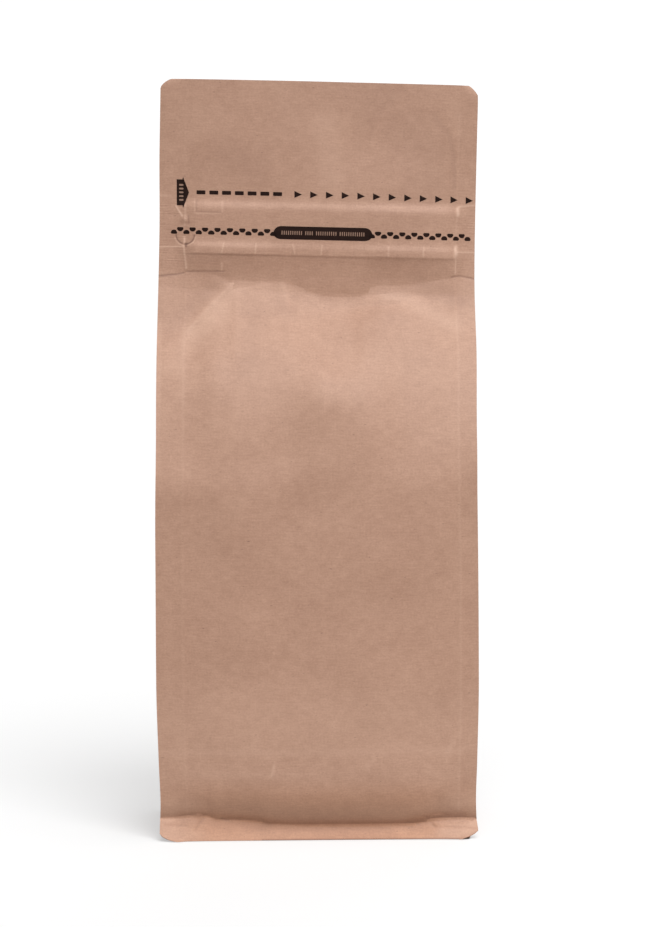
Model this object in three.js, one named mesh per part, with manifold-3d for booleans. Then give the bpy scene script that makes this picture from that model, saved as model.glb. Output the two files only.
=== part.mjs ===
// A stand-up flat-bottom pouch of kraft laminate, shut and filled, in millimetres with +Z up.
// The front faces -Y and the origin is under the middle of the base, on the surface it stands on.
//
// The real pouch is sealed together from five webs: a front, a back, two side gussets and a base.
// Here the front and back webs are thin bent sheets, so that their side seals stand out past the
// gussets as four upright fins and their bottom seals splay out as skirts. They are joined to a
// filled core, whose sides are the gussets and fold in under the shoulder, and to the pressed top.
import * as THREE from "three";
import { mergeVertices } from "three/addons/utils/BufferGeometryUtils.js";
import Module from "manifold-3d";

// ---- Driving dimensions -------------------------------------------------------------------------
const WEB_WIDTH = 140; // the front and back webs, over their side seals
const STANDING_HEIGHT = 331;
const LEFT_SEAL = 11.5; // side seals: the webs were cut a little off centre
const RIGHT_SEAL = 8;
const SHEET = 0.7; // thickness of a sealed double web
const MOUTH_CORNER = 6; // rounding of the web's two upper corners
const FOOT_CORNER = 5.5; // and of its two lower ones

const CREASE_HEIGHT = 6.6; // the fold where the bottom seal leaves the wall
const CREASE_DEPTH = 35.6; // and how far that fold is from the middle plane
const SKIRT_LIFT = 0.4; // the skirt's edge clears the floor by this
const SKIRT_FLARE = 4.6; // how far the skirt splays out
const BASE_ROUNDING = 15; // how far in the base has come down flat

const PINCH_HEIGHT = 245; // the webs are pressed together from here up
const PRESSED = 0.85; // depth of each web's outer face at the mouth
const RIGHT_CURL = 8; // how far the pressed top's right edge bends back
const LEFT_CURL = 4;
const LEAN = THREE.MathUtils.degToRad(1.3); // the pressed top leans to the right
const LEAN_FROM = 180; // about this height
const MOUTH_SKEW = 0.0075; // rise of the cut mouth per mm to the right, out of square

const HALF_WIDTH = WEB_WIDTH / 2;
const LEFT_ROOT = -(HALF_WIDTH - LEFT_SEAL); // inner edges of the side seals
const RIGHT_ROOT = HALF_WIDTH - RIGHT_SEAL;

// ---- Profiles against height --------------------------------------------------------------------
// A smooth curve through [height, value] stations that never overshoots between two of them.
function profile(...stations) {
  const z = stations.map((s) => s[0]);
  const value = stations.map((s) => s[1]);
  const slope = z.slice(1).map((zi, i) => (value[i + 1] - value[i]) / (zi - z[i]));
  const tangent = value.map((_, i) => {
    const before = slope[i - 1] ?? slope[i];
    const after = slope[i] ?? slope[i - 1];
    return before * after <= 0 ? 0 : (2 * before * after) / (before + after);
  });
  return (at) => {
    const h = THREE.MathUtils.clamp(at, z[0], z.at(-1));
    const i = z.findLastIndex((zi, k) => zi <= h && k < z.length - 1);
    const span = z[i + 1] - z[i];
    const t = (h - z[i]) / span;
    return (
      value[i] * (1 + 2 * t) * (1 - t) ** 2 +
      value[i + 1] * (3 - 2 * t) * t ** 2 +
      span * t * (1 - t) * (tangent[i] * (1 - t) - tangent[i + 1] * t)
    );
  };
}

const SKIRT_EDGE = [SKIRT_LIFT, CREASE_DEPTH + SKIRT_FLARE];
const CREASE = [CREASE_HEIGHT, CREASE_DEPTH];
const MOUTH = [STANDING_HEIGHT, PRESSED];

// How far a web's outer face is from the middle plane, down the web's centre line. The front has
// two ridges, where it drapes over the zipper tape inside.
const frontCentre = profile(
  SKIRT_EDGE,
  CREASE,
  [11, 37.4],
  [17, 39.2],
  [27, 40.4],
  [110, 41.5],
  [172, 40],
  [190, 36.4],
  [206, 28.6],
  [240, 4.8],
  [PINCH_HEIGHT, 2.3],
  [256.5, 4.9], // lower ridge
  [261, 3.5],
  [268, 3.5],
  [275, 4.4], // upper ridge
  [280, 2.9],
  MOUTH,
);
const backCentre = profile(
  SKIRT_EDGE,
  CREASE,
  [13, 38.4],
  [27, 40.2],
  [110, 41],
  [172, 39.6],
  [192, 35.2],
  [208, 27],
  [238, 6],
  [PINCH_HEIGHT, 2.3],
  [262, 2],
  MOUTH,
);
// The same at the inner edges of the side seals, for either web.
const sealDepth = profile(
  SKIRT_EDGE,
  CREASE,
  [27, 37.4],
  [60, 37.7],
  [165, 37.2],
  [186, 33.5],
  [203, 26],
  [240, 3.4],
  [PINCH_HEIGHT, 1.6],
  MOUTH,
);
// And at the free edges of the side seals, which trail back a little from the wall.
const edgeDepth = profile(
  SKIRT_EDGE,
  CREASE,
  [27, 34.6],
  [150, 35],
  [186, 31],
  [205, 22.4],
  [238, 3.8],
  [PINCH_HEIGHT, 1.5],
  MOUTH,
);
// Half the distance between the free edges: the foot is drawn in a little above the skirt.
const halfSpan = profile(
  [0, HALF_WIDTH],
  [17, HALF_WIDTH - 1.1],
  [35, HALF_WIDTH - 0.5],
  [70, HALF_WIDTH + 0.2],
  [185, HALF_WIDTH - 0.2],
  [STANDING_HEIGHT, HALF_WIDTH],
);
// How far the filled body stands to the right of the origin; negative is to the left.
const sway = profile([0, 0], [60, -0.3], [150, -1], [STANDING_HEIGHT, -1]);
// How far the middle of a side gusset stands out of the plane through its seals; negative is the
// fold, which goes in as the front and back come together.
const gussetCrown = profile(
  [0, 0],
  [35, 1.2],
  [100, 1.6],
  [140, -2],
  [165, -7],
  [186, -17],
  [205, -27],
  [228, -34],
  [PINCH_HEIGHT, -36],
);

// ---- The form of a web --------------------------------------------------------------------------
const ramp = (from, to, at) => THREE.MathUtils.smoothstep(at, from, to);

// Soft buckles of the front shoulder, where it is gathered into the pressed top.
const SHOULDER_BUCKLES = [
  { across: 10, height: 236, halfWidth: 17, halfHeight: 9, rise: -2.6 },
  { across: -38, height: 238, halfWidth: 12, halfHeight: 7, rise: 1.5 },
  { across: -16, height: 240, halfWidth: 10, halfHeight: 6, rise: 1.3 },
  { across: 34, height: 237, halfWidth: 15, halfHeight: 8, rise: 1.6 },
  { across: 56, height: 212, halfWidth: 14, halfHeight: 18, rise: 0.9 },
];
function buckled(across, z) {
  return SHOULDER_BUCKLES.reduce((sum, b) => {
    const reach2 = ((across - b.across) / b.halfWidth) ** 2 + ((z - b.height) / b.halfHeight) ** 2;
    return sum + b.rise * Math.exp(-reach2);
  }, 0);
}

// How far a web's outer face is from the middle plane: a crowned wall between the side seals,
// squarer where it is pressed flat, and straight seals beyond.
const WALL_CROWN = 2.6;
const PRESSED_CROWN = 9;
function webDepth(across, z, isFront) {
  const root = across < 0 ? -LEFT_ROOT : RIGHT_ROOT;
  const share = Math.abs(across) / root;
  if (share > 1) {
    const out = (Math.abs(across) - root) / (HALF_WIDTH - root);
    return THREE.MathUtils.lerp(sealDepth(z), edgeDepth(z), out);
  }
  const crown = THREE.MathUtils.lerp(WALL_CROWN, PRESSED_CROWN, ramp(225, 250, z));
  const centre = isFront ? frontCentre(z) : backCentre(z);
  const wall = THREE.MathUtils.lerp(centre, sealDepth(z), share ** crown);
  return isFront ? wall + buckled(across, z) * (1 - share ** 6) : wall;
}

// The middle plane between the webs: flat below, curling back at the sides of the pressed top.
function middle(across, z) {
  const curl = across < 0 ? LEFT_CURL : RIGHT_CURL;
  return curl * Math.abs(across / HALF_WIDTH) ** 2.5 * ramp(190, 300, z);
}

// A place on the pouch after it has settled: the body sways and the pressed top leans over.
function settled(x, y, z) {
  const slope = Math.tan(LEAN) * ramp(165, 235, z);
  return new THREE.Vector3(x + sway(z) + slope * (z - LEAN_FROM), y, z - slope * x);
}

// How far a rounded corner draws the free edge in, at a height above or below the web's end.
function cornerInset(radius, fromEnd) {
  const t = Math.max(0, radius - fromEnd);
  return radius - Math.sqrt(radius * radius - t * t);
}

// ---- Pieces -------------------------------------------------------------------------------------
// A closed box divided at the given places along its three axes, each corner moved by place().
function bentBox(alongX, alongY, alongZ, place) {
  const steps = [alongX, alongY, alongZ].map((list) => list.length - 1);
  const box = new THREE.BoxGeometry(...steps, ...steps);
  const corner = box.getAttribute("position");
  for (let i = 0; i < corner.count; i++) {
    const a = alongX[Math.round(corner.getX(i) + steps[0] / 2)];
    const b = alongY[Math.round(corner.getY(i) + steps[1] / 2)];
    const c = alongZ[Math.round(corner.getZ(i) + steps[2] / 2)];
    corner.setXYZ(i, ...place(a, b, c));
  }
  return box;
}

const spread = (from, to, steps) =>
  Array.from({ length: steps + 1 }, (_, i) => from + ((to - from) * i) / steps);

// Heights of the rows of faces: close together at the foot, the shoulder, the zipper and the mouth.
const SKIRT_ROWS = [0, 0.5, 1.6, 3.2, 4.8].map((up) => SKIRT_LIFT + up);
const WALL_ROWS = [
  9, 12, 16, 21, 28, 45, 80, 120, 150, 165, 176, 185, 193, 200, 207, 215, 223, 230, 235, 239, 242,
  PINCH_HEIGHT,
];
const TOP_ROWS = [249, 253, 256.5, 259, 262, 268, 272, 275, 277.5, 280, 290, 305, 318];
const MOUTH_ROWS = [6, 4.2, 2.4, 1, 0.3, 0].map((fromTop) => STANDING_HEIGHT - fromTop);

// The front or the back web, as a bent sheet with rounded corners.
const ACROSS_STEPS = 18;
function web(isFront) {
  const across = [-HALF_WIDTH, ...spread(LEFT_ROOT, RIGHT_ROOT, ACROSS_STEPS), HALF_WIDTH];
  const rows = [...SKIRT_ROWS, CREASE_HEIGHT, ...WALL_ROWS, ...TOP_ROWS, ...MOUTH_ROWS];
  const side = isFront ? -1 : 1;
  return bentBox(across, [-1, 1], rows, (u, face, z) => {
    const depth = webDepth(u, z, isFront) - (face === side ? 0 : SHEET);
    const inset =
      cornerInset(MOUTH_CORNER, STANDING_HEIGHT - z) + cornerInset(FOOT_CORNER, z - SKIRT_LIFT);
    const isEdge = Math.abs(u) === HALF_WIDTH;
    const x = u * (halfSpan(z) / HALF_WIDTH) - (isEdge ? Math.sign(u) * inset : 0);
    const skew = MOUTH_SKEW * u * ramp(290, STANDING_HEIGHT, z);
    return settled(x, middle(u, z) + side * depth, z + skew);
  });
}

// What fills the webs has its front and back in the middle of their thickness. Its rows are a
// little above theirs, so that no two edges meet.
const ROW_OFFSET = 0.45;
const above = (rows) => rows.map((z) => z + ROW_OFFSET);

// The filled body between the webs.
const OVERLAP = 0.3; // the gussets' edges go this far into the side seals
function core() {
  const across = spread(LEFT_ROOT, RIGHT_ROOT, ACROSS_STEPS);
  const rows = [0, 0.2, 0.8, 2, 3.8, 5.6, ...above([CREASE_HEIGHT, ...WALL_ROWS])];
  const through = spread(-1, 1, 8);
  return bentBox(across, through, rows, (u, v, z) => {
    const level = Math.max(z, CREASE_HEIGHT);
    const root = u < 0 ? LEFT_ROOT : RIGHT_ROOT;
    // The base comes down to the floor as a quarter of an ellipse.
    const drop = 1 - Math.min(1, z / CREASE_HEIGHT);
    const inset = BASE_ROUNDING * (1 - Math.sqrt(1 - drop * drop));
    const crown = gussetCrown(level) * (1 - Math.abs(v)) * (u / root) ** 8;
    const reach = Math.abs(root) + OVERLAP + crown - inset;
    const depth = webDepth(u, level, v < 0) - SHEET / 2 - inset;
    const x = (u / Math.abs(root)) * reach * (halfSpan(level) / HALF_WIDTH);
    return settled(x, middle(x, z) + v * depth, z);
  });
}

// The pressed top: what fills the narrow gap between the webs, gusset folds and all.
const TOP_RECESS = 1.3; // it ends this far inside the webs' free edges
const TOP_LAP = 4.7; // and it starts this far below the pinch, within the core
function pressedTop() {
  const half = HALF_WIDTH - TOP_RECESS;
  const across = [-half, ...spread(LEFT_ROOT, RIGHT_ROOT, ACROSS_STEPS), half];
  const ends = [STANDING_HEIGHT - MOUTH_CORNER, STANDING_HEIGHT - TOP_RECESS];
  const lap = spread(PINCH_HEIGHT - TOP_LAP, PINCH_HEIGHT, 3);
  const rows = [...lap, ...above(TOP_ROWS), ...ends];
  return bentBox(across, [-1, 1], rows, (u, v, z) => {
    const depth = webDepth(u, z, v < 0) - SHEET / 2;
    const inset = cornerInset(MOUTH_CORNER, STANDING_HEIGHT - z) * (Math.abs(u) === half ? 1 : 0);
    return settled(u - Math.sign(u) * inset, middle(u, z) + v * depth, z);
  });
}

// A gusset's own bottom seal: a skirt along the foot of a side wall, from fin to fin.
const SIDE_SKIRT_SINK = 1.2; // its upper edge is this far inside the gusset
function sideSkirt(side) {
  const root = (side < 0 ? -LEFT_ROOT : RIGHT_ROOT) - SIDE_SKIRT_SINK;
  const top = CREASE_HEIGHT + SIDE_SKIRT_SINK;
  return bentBox([-1, 1], spread(-1, 1, 4), [SKIRT_LIFT + 0.1, 3, top], (face, v, z) => {
    const out = (SKIRT_FLARE * (top - z)) / top;
    const reach = webDepth(side * (root + out), z, v < 0) - SHEET / 2;
    return settled(side * (root + out + (face === side ? SHEET : 0)), v * reach, z);
  });
}

// ---- One solid ----------------------------------------------------------------------------------
const wasm = await Module();
wasm.setup();

function toSolid(geometry) {
  geometry.deleteAttribute("normal");
  geometry.deleteAttribute("uv");
  const merged = mergeVertices(geometry);
  return new wasm.Manifold(
    new wasm.Mesh({
      numProp: 3,
      vertProperties: merged.getAttribute("position").array,
      triVerts: new Uint32Array(merged.index.array),
    }),
  );
}

function toGeometry(solid) {
  const { vertProperties, triVerts } = solid.getMesh();
  const geometry = new THREE.BufferGeometry();
  geometry.setAttribute("position", new THREE.BufferAttribute(vertProperties, 3));
  geometry.setIndex(new THREE.BufferAttribute(triVerts, 1));
  geometry.computeVertexNormals();
  return geometry;
}

// Joins the pieces and fills what they shut in: only the outermost surface is kept.
const pouchSolid = [web(false), core(), pressedTop(), sideSkirt(-1), sideSkirt(1)]
  .map(toSolid)
  .reduce((whole, piece) => whole.add(piece), toSolid(web(true)))
  .decompose()
  .reduce((outer, body) => (body.volume() > outer.volume() ? body : outer));

const kraft = new THREE.MeshStandardMaterial({ color: 0xbc957c, roughness: 0.62, metalness: 0 });
const pouch = new THREE.Mesh(toGeometry(pouchSolid), kraft);
pouch.name = "pouch";

const part = new THREE.Group();
part.add(pouch);

export default part;
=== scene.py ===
"""A shut, filled flat-bottom pouch of kraft laminate, dressed for rendering.

The pouch is sealed together from a front web, a back web, two side gussets and a base web, and its
front is printed with an opening tab, a tear line and a press-to-close band. The classes below hold
their sizes in millimetres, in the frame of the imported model: +X to the right, the front faces -Y, +Z
up, and the origin on the floor under the middle of the base. Meshes are written in metres.
"""
import logging
import math
from dataclasses import dataclass, field
from enum import Enum
from typing import Iterable, Sequence

import bpy
import numpy as np
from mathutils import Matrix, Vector
from mathutils.geometry import delaunay_2d_cdt


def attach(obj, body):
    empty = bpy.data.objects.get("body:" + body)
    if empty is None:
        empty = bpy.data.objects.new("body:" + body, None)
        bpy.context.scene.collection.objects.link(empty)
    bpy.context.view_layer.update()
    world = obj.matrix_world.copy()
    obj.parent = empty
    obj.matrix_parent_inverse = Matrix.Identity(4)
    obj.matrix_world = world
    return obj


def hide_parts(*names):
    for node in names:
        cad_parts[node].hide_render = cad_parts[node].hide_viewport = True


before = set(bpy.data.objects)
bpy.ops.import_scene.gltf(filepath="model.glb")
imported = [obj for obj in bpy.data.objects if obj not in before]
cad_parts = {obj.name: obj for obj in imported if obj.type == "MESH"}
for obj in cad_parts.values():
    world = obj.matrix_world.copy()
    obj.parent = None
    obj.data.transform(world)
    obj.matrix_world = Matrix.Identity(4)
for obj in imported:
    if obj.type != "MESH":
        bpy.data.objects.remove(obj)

log = logging.getLogger("pouch")

MM = 0.001
BODY = "root"
SOLID = "pouch"

Array = np.ndarray
Point2 = tuple[float, float]
Outline = list[Point2]


class Side(Enum):
    """A web's place on the pouch; the value is the sign of its Y."""

    FRONT = -1
    BACK = 1


class Hand(Enum):
    """A gusset's place on the pouch; the value is the sign of its X."""

    LEFT = -1
    RIGHT = 1


class Slot(Enum):
    """The record's material slots."""

    KRAFT = "kraft"
    INK = "ink"
    FILM = "film"


# ---- Curves ---------------------------------------------------------------------------------------
def smooth_step(at: Array, start: float, end: float) -> Array:
    """Rises smoothly from 0 at start to 1 at end.

    Args:
        at: Where to look.
        start: Where the rise begins; it may lie above end.
        end: Where it is complete.

    Returns:
        A value from 0 to 1 for each place.
    """
    t = np.clip((np.asarray(at, float) - start) / (end - start), 0, 1)
    return t * t * (3 - 2 * t)


def monotone(knots: Array, values: Array, at: Array) -> Array:
    """Smooth curves through knots that never overshoot between two of them.

    Args:
        knots: Stations along the curve, shape (K, N) or (K, 1), rising along K.
        values: The curve's value at each station, shape (K, 1) or (K, N).
        at: Where to look, shape (N,).

    Returns:
        The value of each point's own curve, shape (N,).
    """
    span = np.diff(knots, axis=0)
    slope = np.diff(values, axis=0) / span
    before = np.concatenate([slope[:1], slope])
    after = np.concatenate([slope, slope[-1:]])
    product = before * after
    total = np.where(product > 0, before + after, 1)
    tangent = np.where(product > 0, 2 * product / total, 0)
    h = np.clip(at, knots[0], knots[-1])
    index = np.clip((h[None, :] >= knots).sum(axis=0) - 1, 0, len(knots) - 2)[None, :]

    def pick(table: Array, row: Array) -> Array:
        """The entries of a (K, N) or (K, 1) table at each point's own row."""
        wide = np.broadcast_to(table, (len(table), h.size))
        return np.take_along_axis(wide, row, axis=0)[0]

    length = pick(span, index)
    t = (h - pick(knots, index)) / length
    return (
        pick(values, index) * (1 + 2 * t) * (1 - t) ** 2
        + pick(values, index + 1) * (3 - 2 * t) * t**2
        + length * t * (1 - t) * (pick(tangent, index) * (1 - t) - pick(tangent, index + 1) * t)
    )


class Profile:
    """A smooth curve through fixed stations that never overshoots between two of them."""

    def __init__(self, *stations: Point2) -> None:
        """Takes (place, value) stations in rising order of place."""
        table = np.array(stations, float)
        self.knots, self.values = table[:, :1], table[:, 1:]

    def __call__(self, at: Array | float) -> Array:
        """The curve's value at each place, held at the ends."""
        where = np.asarray(at, float)
        return monotone(self.knots, self.values, where.ravel()).reshape(where.shape)


def spread(start: float, end: float, pitch: float) -> Array:
    """Evenly spaced stations from start up to but not including end, about a pitch apart."""
    return np.linspace(start, end, max(1, round((end - start) / pitch)), endpoint=False)


def divided(outline: Outline, pitch: float) -> Outline:
    """The same closed outline with no edge longer than a pitch.

    Args:
        outline: A closed outline.
        pitch: The longest edge to leave.

    Returns:
        The outline with the points between.
    """
    made: Outline = []
    for (u0, z0), (u1, z1) in zip(outline, outline[1:] + outline[:1]):
        steps = max(1, math.ceil(math.hypot(u1 - u0, z1 - z0) / pitch))
        made += [(u0 + (u1 - u0) * i / steps, z0 + (z1 - z0) * i / steps) for i in range(steps)]
    return made


# ---- Form -----------------------------------------------------------------------------------------
@dataclass(frozen=True)
class Crease:
    """A scored, folded or pinched line on the front web; a wide one with no rise is a patch of painted shade
    (dark) or painted highlight (pale).

    Attributes:
        path: Its corners in web coordinates: across, height.
        width: Half its width.
        rise: How far it stands out; negative is a groove.
        wear_and_shade: How far it is paler, as a worn crease and, on a wide patch, as painted highlight;
            negative is darker, as a dark line and, on a wide patch, as painted shade.
    """

    path: tuple[Point2, ...]
    width: float = 0.34
    rise: float = 0.0
    wear_and_shade: float = 0.0

    def strength(self, across: Array, height: Array) -> Array:
        """How strongly the crease shows at each place, from 0 to 1.

        Args:
            across: Distance from the middle on the web.
            height: Height on the web.

        Returns:
            Strengths, in the shape of the places.
        """
        nearest = np.full(across.shape, 1e9)
        for (u0, z0), (u1, z1) in zip(self.path, self.path[1:]):
            du, dz = u1 - u0, z1 - z0
            along = ((across - u0) * du + (height - z0) * dz) / (du * du + dz * dz)
            along = np.clip(along, 0, 1)
            gap = (across - u0 - along * du) ** 2 + (height - z0 - along * dz) ** 2
            nearest = np.minimum(nearest, gap)
        return np.exp(-nearest / (2 * self.width**2))


@dataclass(frozen=True)
class Pillow:
    """A soft swelling or dent, round or oval.

    Attributes:
        centre: Its middle in web coordinates.
        reach: Half its width and half its height.
        rise: How far its middle stands out; negative is a dent.
    """

    centre: Point2
    reach: Point2
    rise: float

    def swell(self, across: Array, height: Array) -> Array:
        """How far the surface stands out at each place.

        Args:
            across: Distance from the middle on the web.
            height: Height on the web.

        Returns:
            Distances, in the shape of the places.
        """
        a = (across - self.centre[0]) / self.reach[0]
        b = (height - self.centre[1]) / self.reach[1]
        return self.rise * np.exp(-(a**2) - b**2)


@dataclass(frozen=True)
class Slack:
    """The slight unevenness of filled paper: a sum of seeded long waves."""

    seed: int
    depth: float = 0.16
    shortest: float = 26.0
    longest: float = 95.0
    waves: int = 16

    def sway(self, across: Array, height: Array) -> Array:
        """How far the sheet stands out at each place.

        Args:
            across: Distance from the middle on the web.
            height: Height on the web.

        Returns:
            Distances, in the shape of the places.
        """
        draw = np.random.default_rng(self.seed)
        total = np.zeros(np.broadcast(across, height).shape)
        for _ in range(self.waves):
            length = draw.uniform(self.shortest, self.longest)
            turn, phase = draw.uniform(0, 2 * math.pi, 2)
            along = across * math.cos(turn) + height * math.sin(turn)
            total += (length / self.longest) * np.sin(along * 2 * math.pi / length + phase)
        return self.depth * total


@dataclass(frozen=True)
class Corner:
    """A cut corner of a web.

    Attributes:
        width: How far it reaches across.
        height: How far it reaches up or down the free edge.
        bow: 1 for a straight cut, 2 for a round one.
    """

    width: float
    height: float
    bow: float = 2.0

    def inset(self, from_end: Array, sharper: float = 0) -> Array:
        """How far it draws the free edge in, at a height from the web's end."""
        t = np.clip(1 - from_end / (self.height - sharper), 0, 1)
        return (self.width - sharper) * (1 - (1 - t**self.bow) ** (1 / self.bow))


@dataclass(frozen=True)
class ShoulderLoft:
    """The front shoulder, where the filled wall is gathered into the pressed top.

    It is lofted through upright sections, lined up with each other at the pinch line.

    Attributes:
        foot: Height where the shoulder has run out into the wall.
        pinch: Height of the pinch line, against the distance across.
        sections: Place across of each section, and its depth against height.
    """

    pinch: Profile
    foot: float = 150.0
    sections: tuple[tuple[float, Profile], ...] = (
        (-68, Profile(
            (150, 36.2), (165, 33.9), (188, 27.4), (204, 19.8), (222, 7.2), (236, 3.2), (240, 2.2),
            (246, 1.5))),
        (-56, Profile(
            (150, 37.4), (165, 35.3), (190, 29.3), (203, 23.6), (214, 14.6), (222, 8.6), (230, 4.9),
            (240, 2.6), (246, 1.7))),
        (-45, Profile(
            (150, 38.6), (165, 37.2), (190, 31.8), (204, 26.3), (221, 13.0), (230, 6.6), (238, 3.4),
            (245, 2.2))),
        (-35, Profile(
            (150, 39.5), (172, 37.4), (190, 33.4), (208, 25.4), (221, 15.5), (229, 9.2), (239, 3.7),
            (242, 2.3))),
        (-14, Profile(
            (150, 40.5), (183, 36.6), (196, 33.6), (205, 29.2), (213, 23.2), (228, 9.8), (238, 3.4),
            (242, 2.3))),
        (3, Profile(
            (150, 41.2), (175, 39.6), (190, 38.0), (198, 35.2), (215, 20.4), (232, 4.4), (236, 2.3))),
        (18, Profile(
            (150, 41.0), (175, 39.2), (188, 36.8), (196, 33.6), (210, 24.6), (223, 13.6), (232, 4.8),
            (236, 2.3))),
        (39, Profile(
            (150, 39.8), (167, 38.0), (181, 34.8), (195, 29.6), (213, 20.8), (230, 9.2), (237, 3.9),
            (242, 2.3))),
        (50, Profile(
            (150, 38.8), (167, 37.2), (181, 33.6), (196, 28.2), (211, 20.8), (224, 12.4), (237, 3.9),
            (244, 2.2))),
        (62, Profile(
            (150, 37.6), (167, 35.8), (181, 32.3), (198, 25.6), (213, 17.4), (228, 7.2), (238, 3.0),
            (246, 1.6))),
    )

    def depth(self, across: Array, height: Array) -> Array:
        """Depth of the outer face at each place.

        Args:
            across: Distance from the middle, shape (N,).
            height: Height on the web, shape (N,).

        Returns:
            Depths, shape (N,).
        """
        top = self.pinch(across)
        share = (top - height) / (top - self.foot)
        tops = [float(self.pinch(place)) for place, _ in self.sections]
        lines = [
            section(own - share * (own - self.foot)) for own, (_, section) in zip(tops, self.sections)
        ]
        places = np.array([[place] for place, _ in self.sections], float)
        return monotone(places, np.stack(lines), across)

    def share(self, level: Array) -> Array:
        """How far the loft stands in for the plain wall at each level, from 0 to 1."""
        return smooth_step(level, 150, 168) * smooth_step(level, 247, 243)


@dataclass(frozen=True)
class PouchForm:
    """The pouch's outer form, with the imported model's own sizes.

    A place on a web is given by its web coordinates: the distance across from the middle, and the
    height, both measured on the web as it stands.
    """

    web_width: float = 140.0
    standing_height: float = 330.7
    left_seal: float = 11.5
    right_seal: float = 8.0
    mouth_corners: tuple[Corner, Corner] = (Corner(4.9, 3.9, 1.4), Corner(4.3, 4.5, 1.25))
    foot_corners: tuple[Corner, Corner] = (Corner(8.0, 3.6, 1.5), Corner(9.0, 3.9, 1.35))
    crease_height: float = 6.6
    crease_depth: float = 34.9
    skirt_lift: float = 0.2
    skirt_flare: float = 4.6
    base_rounding: float = 15.0
    pinch_height: float = 245.0
    left_curl: float = 4.0
    right_curl: float = 8.0
    lean: float = math.radians(1.3)
    lean_from: float = 180.0
    flap_nod: float = 0.035
    mouth_skew: float = 0.004
    wall_crown: float = 2.6
    pressed_crown: float = 9.0

    # Depths of a web's outer face from the middle plane, against height.
    front_centre: Profile = Profile(
        (6.6, 34.9), (9, 36.9), (11.7, 38.6), (14, 39.8), (16.5, 40.8), (19, 41.5), (22, 42.0),
        (28, 42.3), (45, 42.0), (70, 41.5), (110, 41.3), (172, 40), (190, 36.4), (206, 28.6),
        (240, 4.8), (245, 2.3), (262, 2.2), (285, 2.0), (331, 0.85),
    )
    back_centre: Profile = Profile(
        (6.6, 34.9), (9, 36.6), (13, 38.6), (18, 40.0), (27, 40.8), (60, 41), (110, 41), (172, 39.6),
        (192, 35.2), (208, 27), (238, 6), (245, 2.3), (262, 2.0), (331, 0.85),
    )
    seal_line: Profile = Profile(
        (6.6, 34.9), (9, 36.2), (13, 37.5), (18, 38.3), (25, 38.6), (60, 38.0), (165, 37.2),
        (186, 33.5), (203, 26), (240, 3.4), (245, 1.6), (331, 0.85),
    )
    free_edge: Profile = Profile(
        (6.6, 34.9), (9, 35.9), (14, 36.9), (24, 37.2), (60, 36.7), (150, 36.2), (186, 31),
        (205, 22.4), (238, 3.8), (245, 1.5), (331, 0.85),
    )
    half_span: Profile = Profile(
        (0, 69.8), (17, 68.9), (35, 69.5), (70, 70.3), (130, 70.1), (175, 69.7), (225, 70.3),
        (262, 70.1), (300, 70.4), (331, 70.4),
    )
    back_draw: Profile = Profile((0, 1.1), (12, 0.7), (40, 0.3), (120, 0))
    body_sway: Profile = Profile(
        (0, 0.35), (12, 0), (60, -0.3), (110, -0.55), (150, -0.8), (180, -0.6), (225, -0.2), (265, -0.3),
        (300, -0.65), (331, -0.75),
    )
    gusset_crown: Profile = Profile(
        (0, 0), (35, 1.2), (100, 1.6), (140, -2), (165, -7), (186, -17), (205, -27),
        (228, -34), (245, -36),
    )

    # Where the front's main lines run, against the distance across.
    foot_line: Profile = Profile(
        (-70, 9.8), (-62, 9.9), (-55, 10.6), (-50, 10.4), (-45, 9.3), (-36, 8.7), (-29, 8.1), (-21, 6.9),
        (-8, 6.4), (20, 6.2), (38, 6.3), (47, 7.0), (54, 8.6), (62, 8.6), (70, 8.0),
    )
    splay_line: Profile = Profile((-70, 5.2), (-50, 3.6), (-20, 3.6), (20, 3.9), (50, 4.5), (70, 6.2))
    pinch_line: Profile = Profile(
        (-70, 245), (-58, 246), (-45, 244.5), (-37, 242), (-22, 242.3), (-14, 241.5), (-7, 239),
        (6, 235.8), (13.7, 234.7), (21.6, 237), (29, 239.9), (37, 241.4), (48, 243.5), (62, 246),
        (70, 246),
    )
    shoulder: ShoulderLoft = ShoulderLoft(pinch_line)
    # The pressed top's own slow wave, shared by both webs.
    flap_wave: Profile = Profile((-70, 0), (-52, -0.5), (-5, 0), (16, 1.5), (36, 1.5), (58, 0.2), (70, 0))

    @property
    def half_width(self) -> float:
        """Half the width of the front and back webs."""
        return self.web_width / 2

    def root_of(self, hand: Hand) -> float:
        """Distance from the middle to the inner edge of a side seal."""
        return self.half_width - (self.left_seal if hand is Hand.LEFT else self.right_seal)

    def roots(self, across: Array) -> Array:
        """The same for each place, by the side of the middle it is on."""
        return np.where(across < 0, self.root_of(Hand.LEFT), self.root_of(Hand.RIGHT))

    def free(self, across: Array, height: Array) -> Array:
        """How free each place is of the seals, the skirt and the pressed top, from 0 to 1."""
        inner = self.roots(across) - np.abs(across)
        return smooth_step(inner, -2, 12) * smooth_step(height, 9, 40) * smooth_step(height, 250, 225)

    def cut(self, across: Array, height: Array, sharper: float) -> Array:
        """How far the corners draw the free edge in, by the side of the middle a place is on.

        Args:
            across: Distance from the middle on the web.
            height: Height on the web.
            sharper: How much smaller the cut foot corners are.

        Returns:
            Distances, in the shape of the places.
        """
        ends = (
            (self.foot_corners, height - self.skirt_lift, sharper),
            (self.mouth_corners, self.standing_height - height, 0),
        )
        total = 0.0
        for corners, from_end, less in ends:
            total = total + np.where(across < 0, *(corner.inset(from_end, less) for corner in corners))
        return total

    def skirt(self, across: Array, height: Array) -> Array:
        """Depth of the outer face below the fold of the foot, where the skirt splays out.

        Args:
            across: Distance from the middle on the web.
            height: Height on the web.

        Returns:
            Depths from the middle plane, in the shape of the places.
        """
        drop = self.crease_height - self.skirt_lift
        share = np.clip((self.crease_height - height) / drop, 0, 1)
        curl = 1.8 - 0.7 * smooth_step(np.abs(across), 25, 66)
        return self.crease_depth + self.splay_line(across) * share**curl

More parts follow.
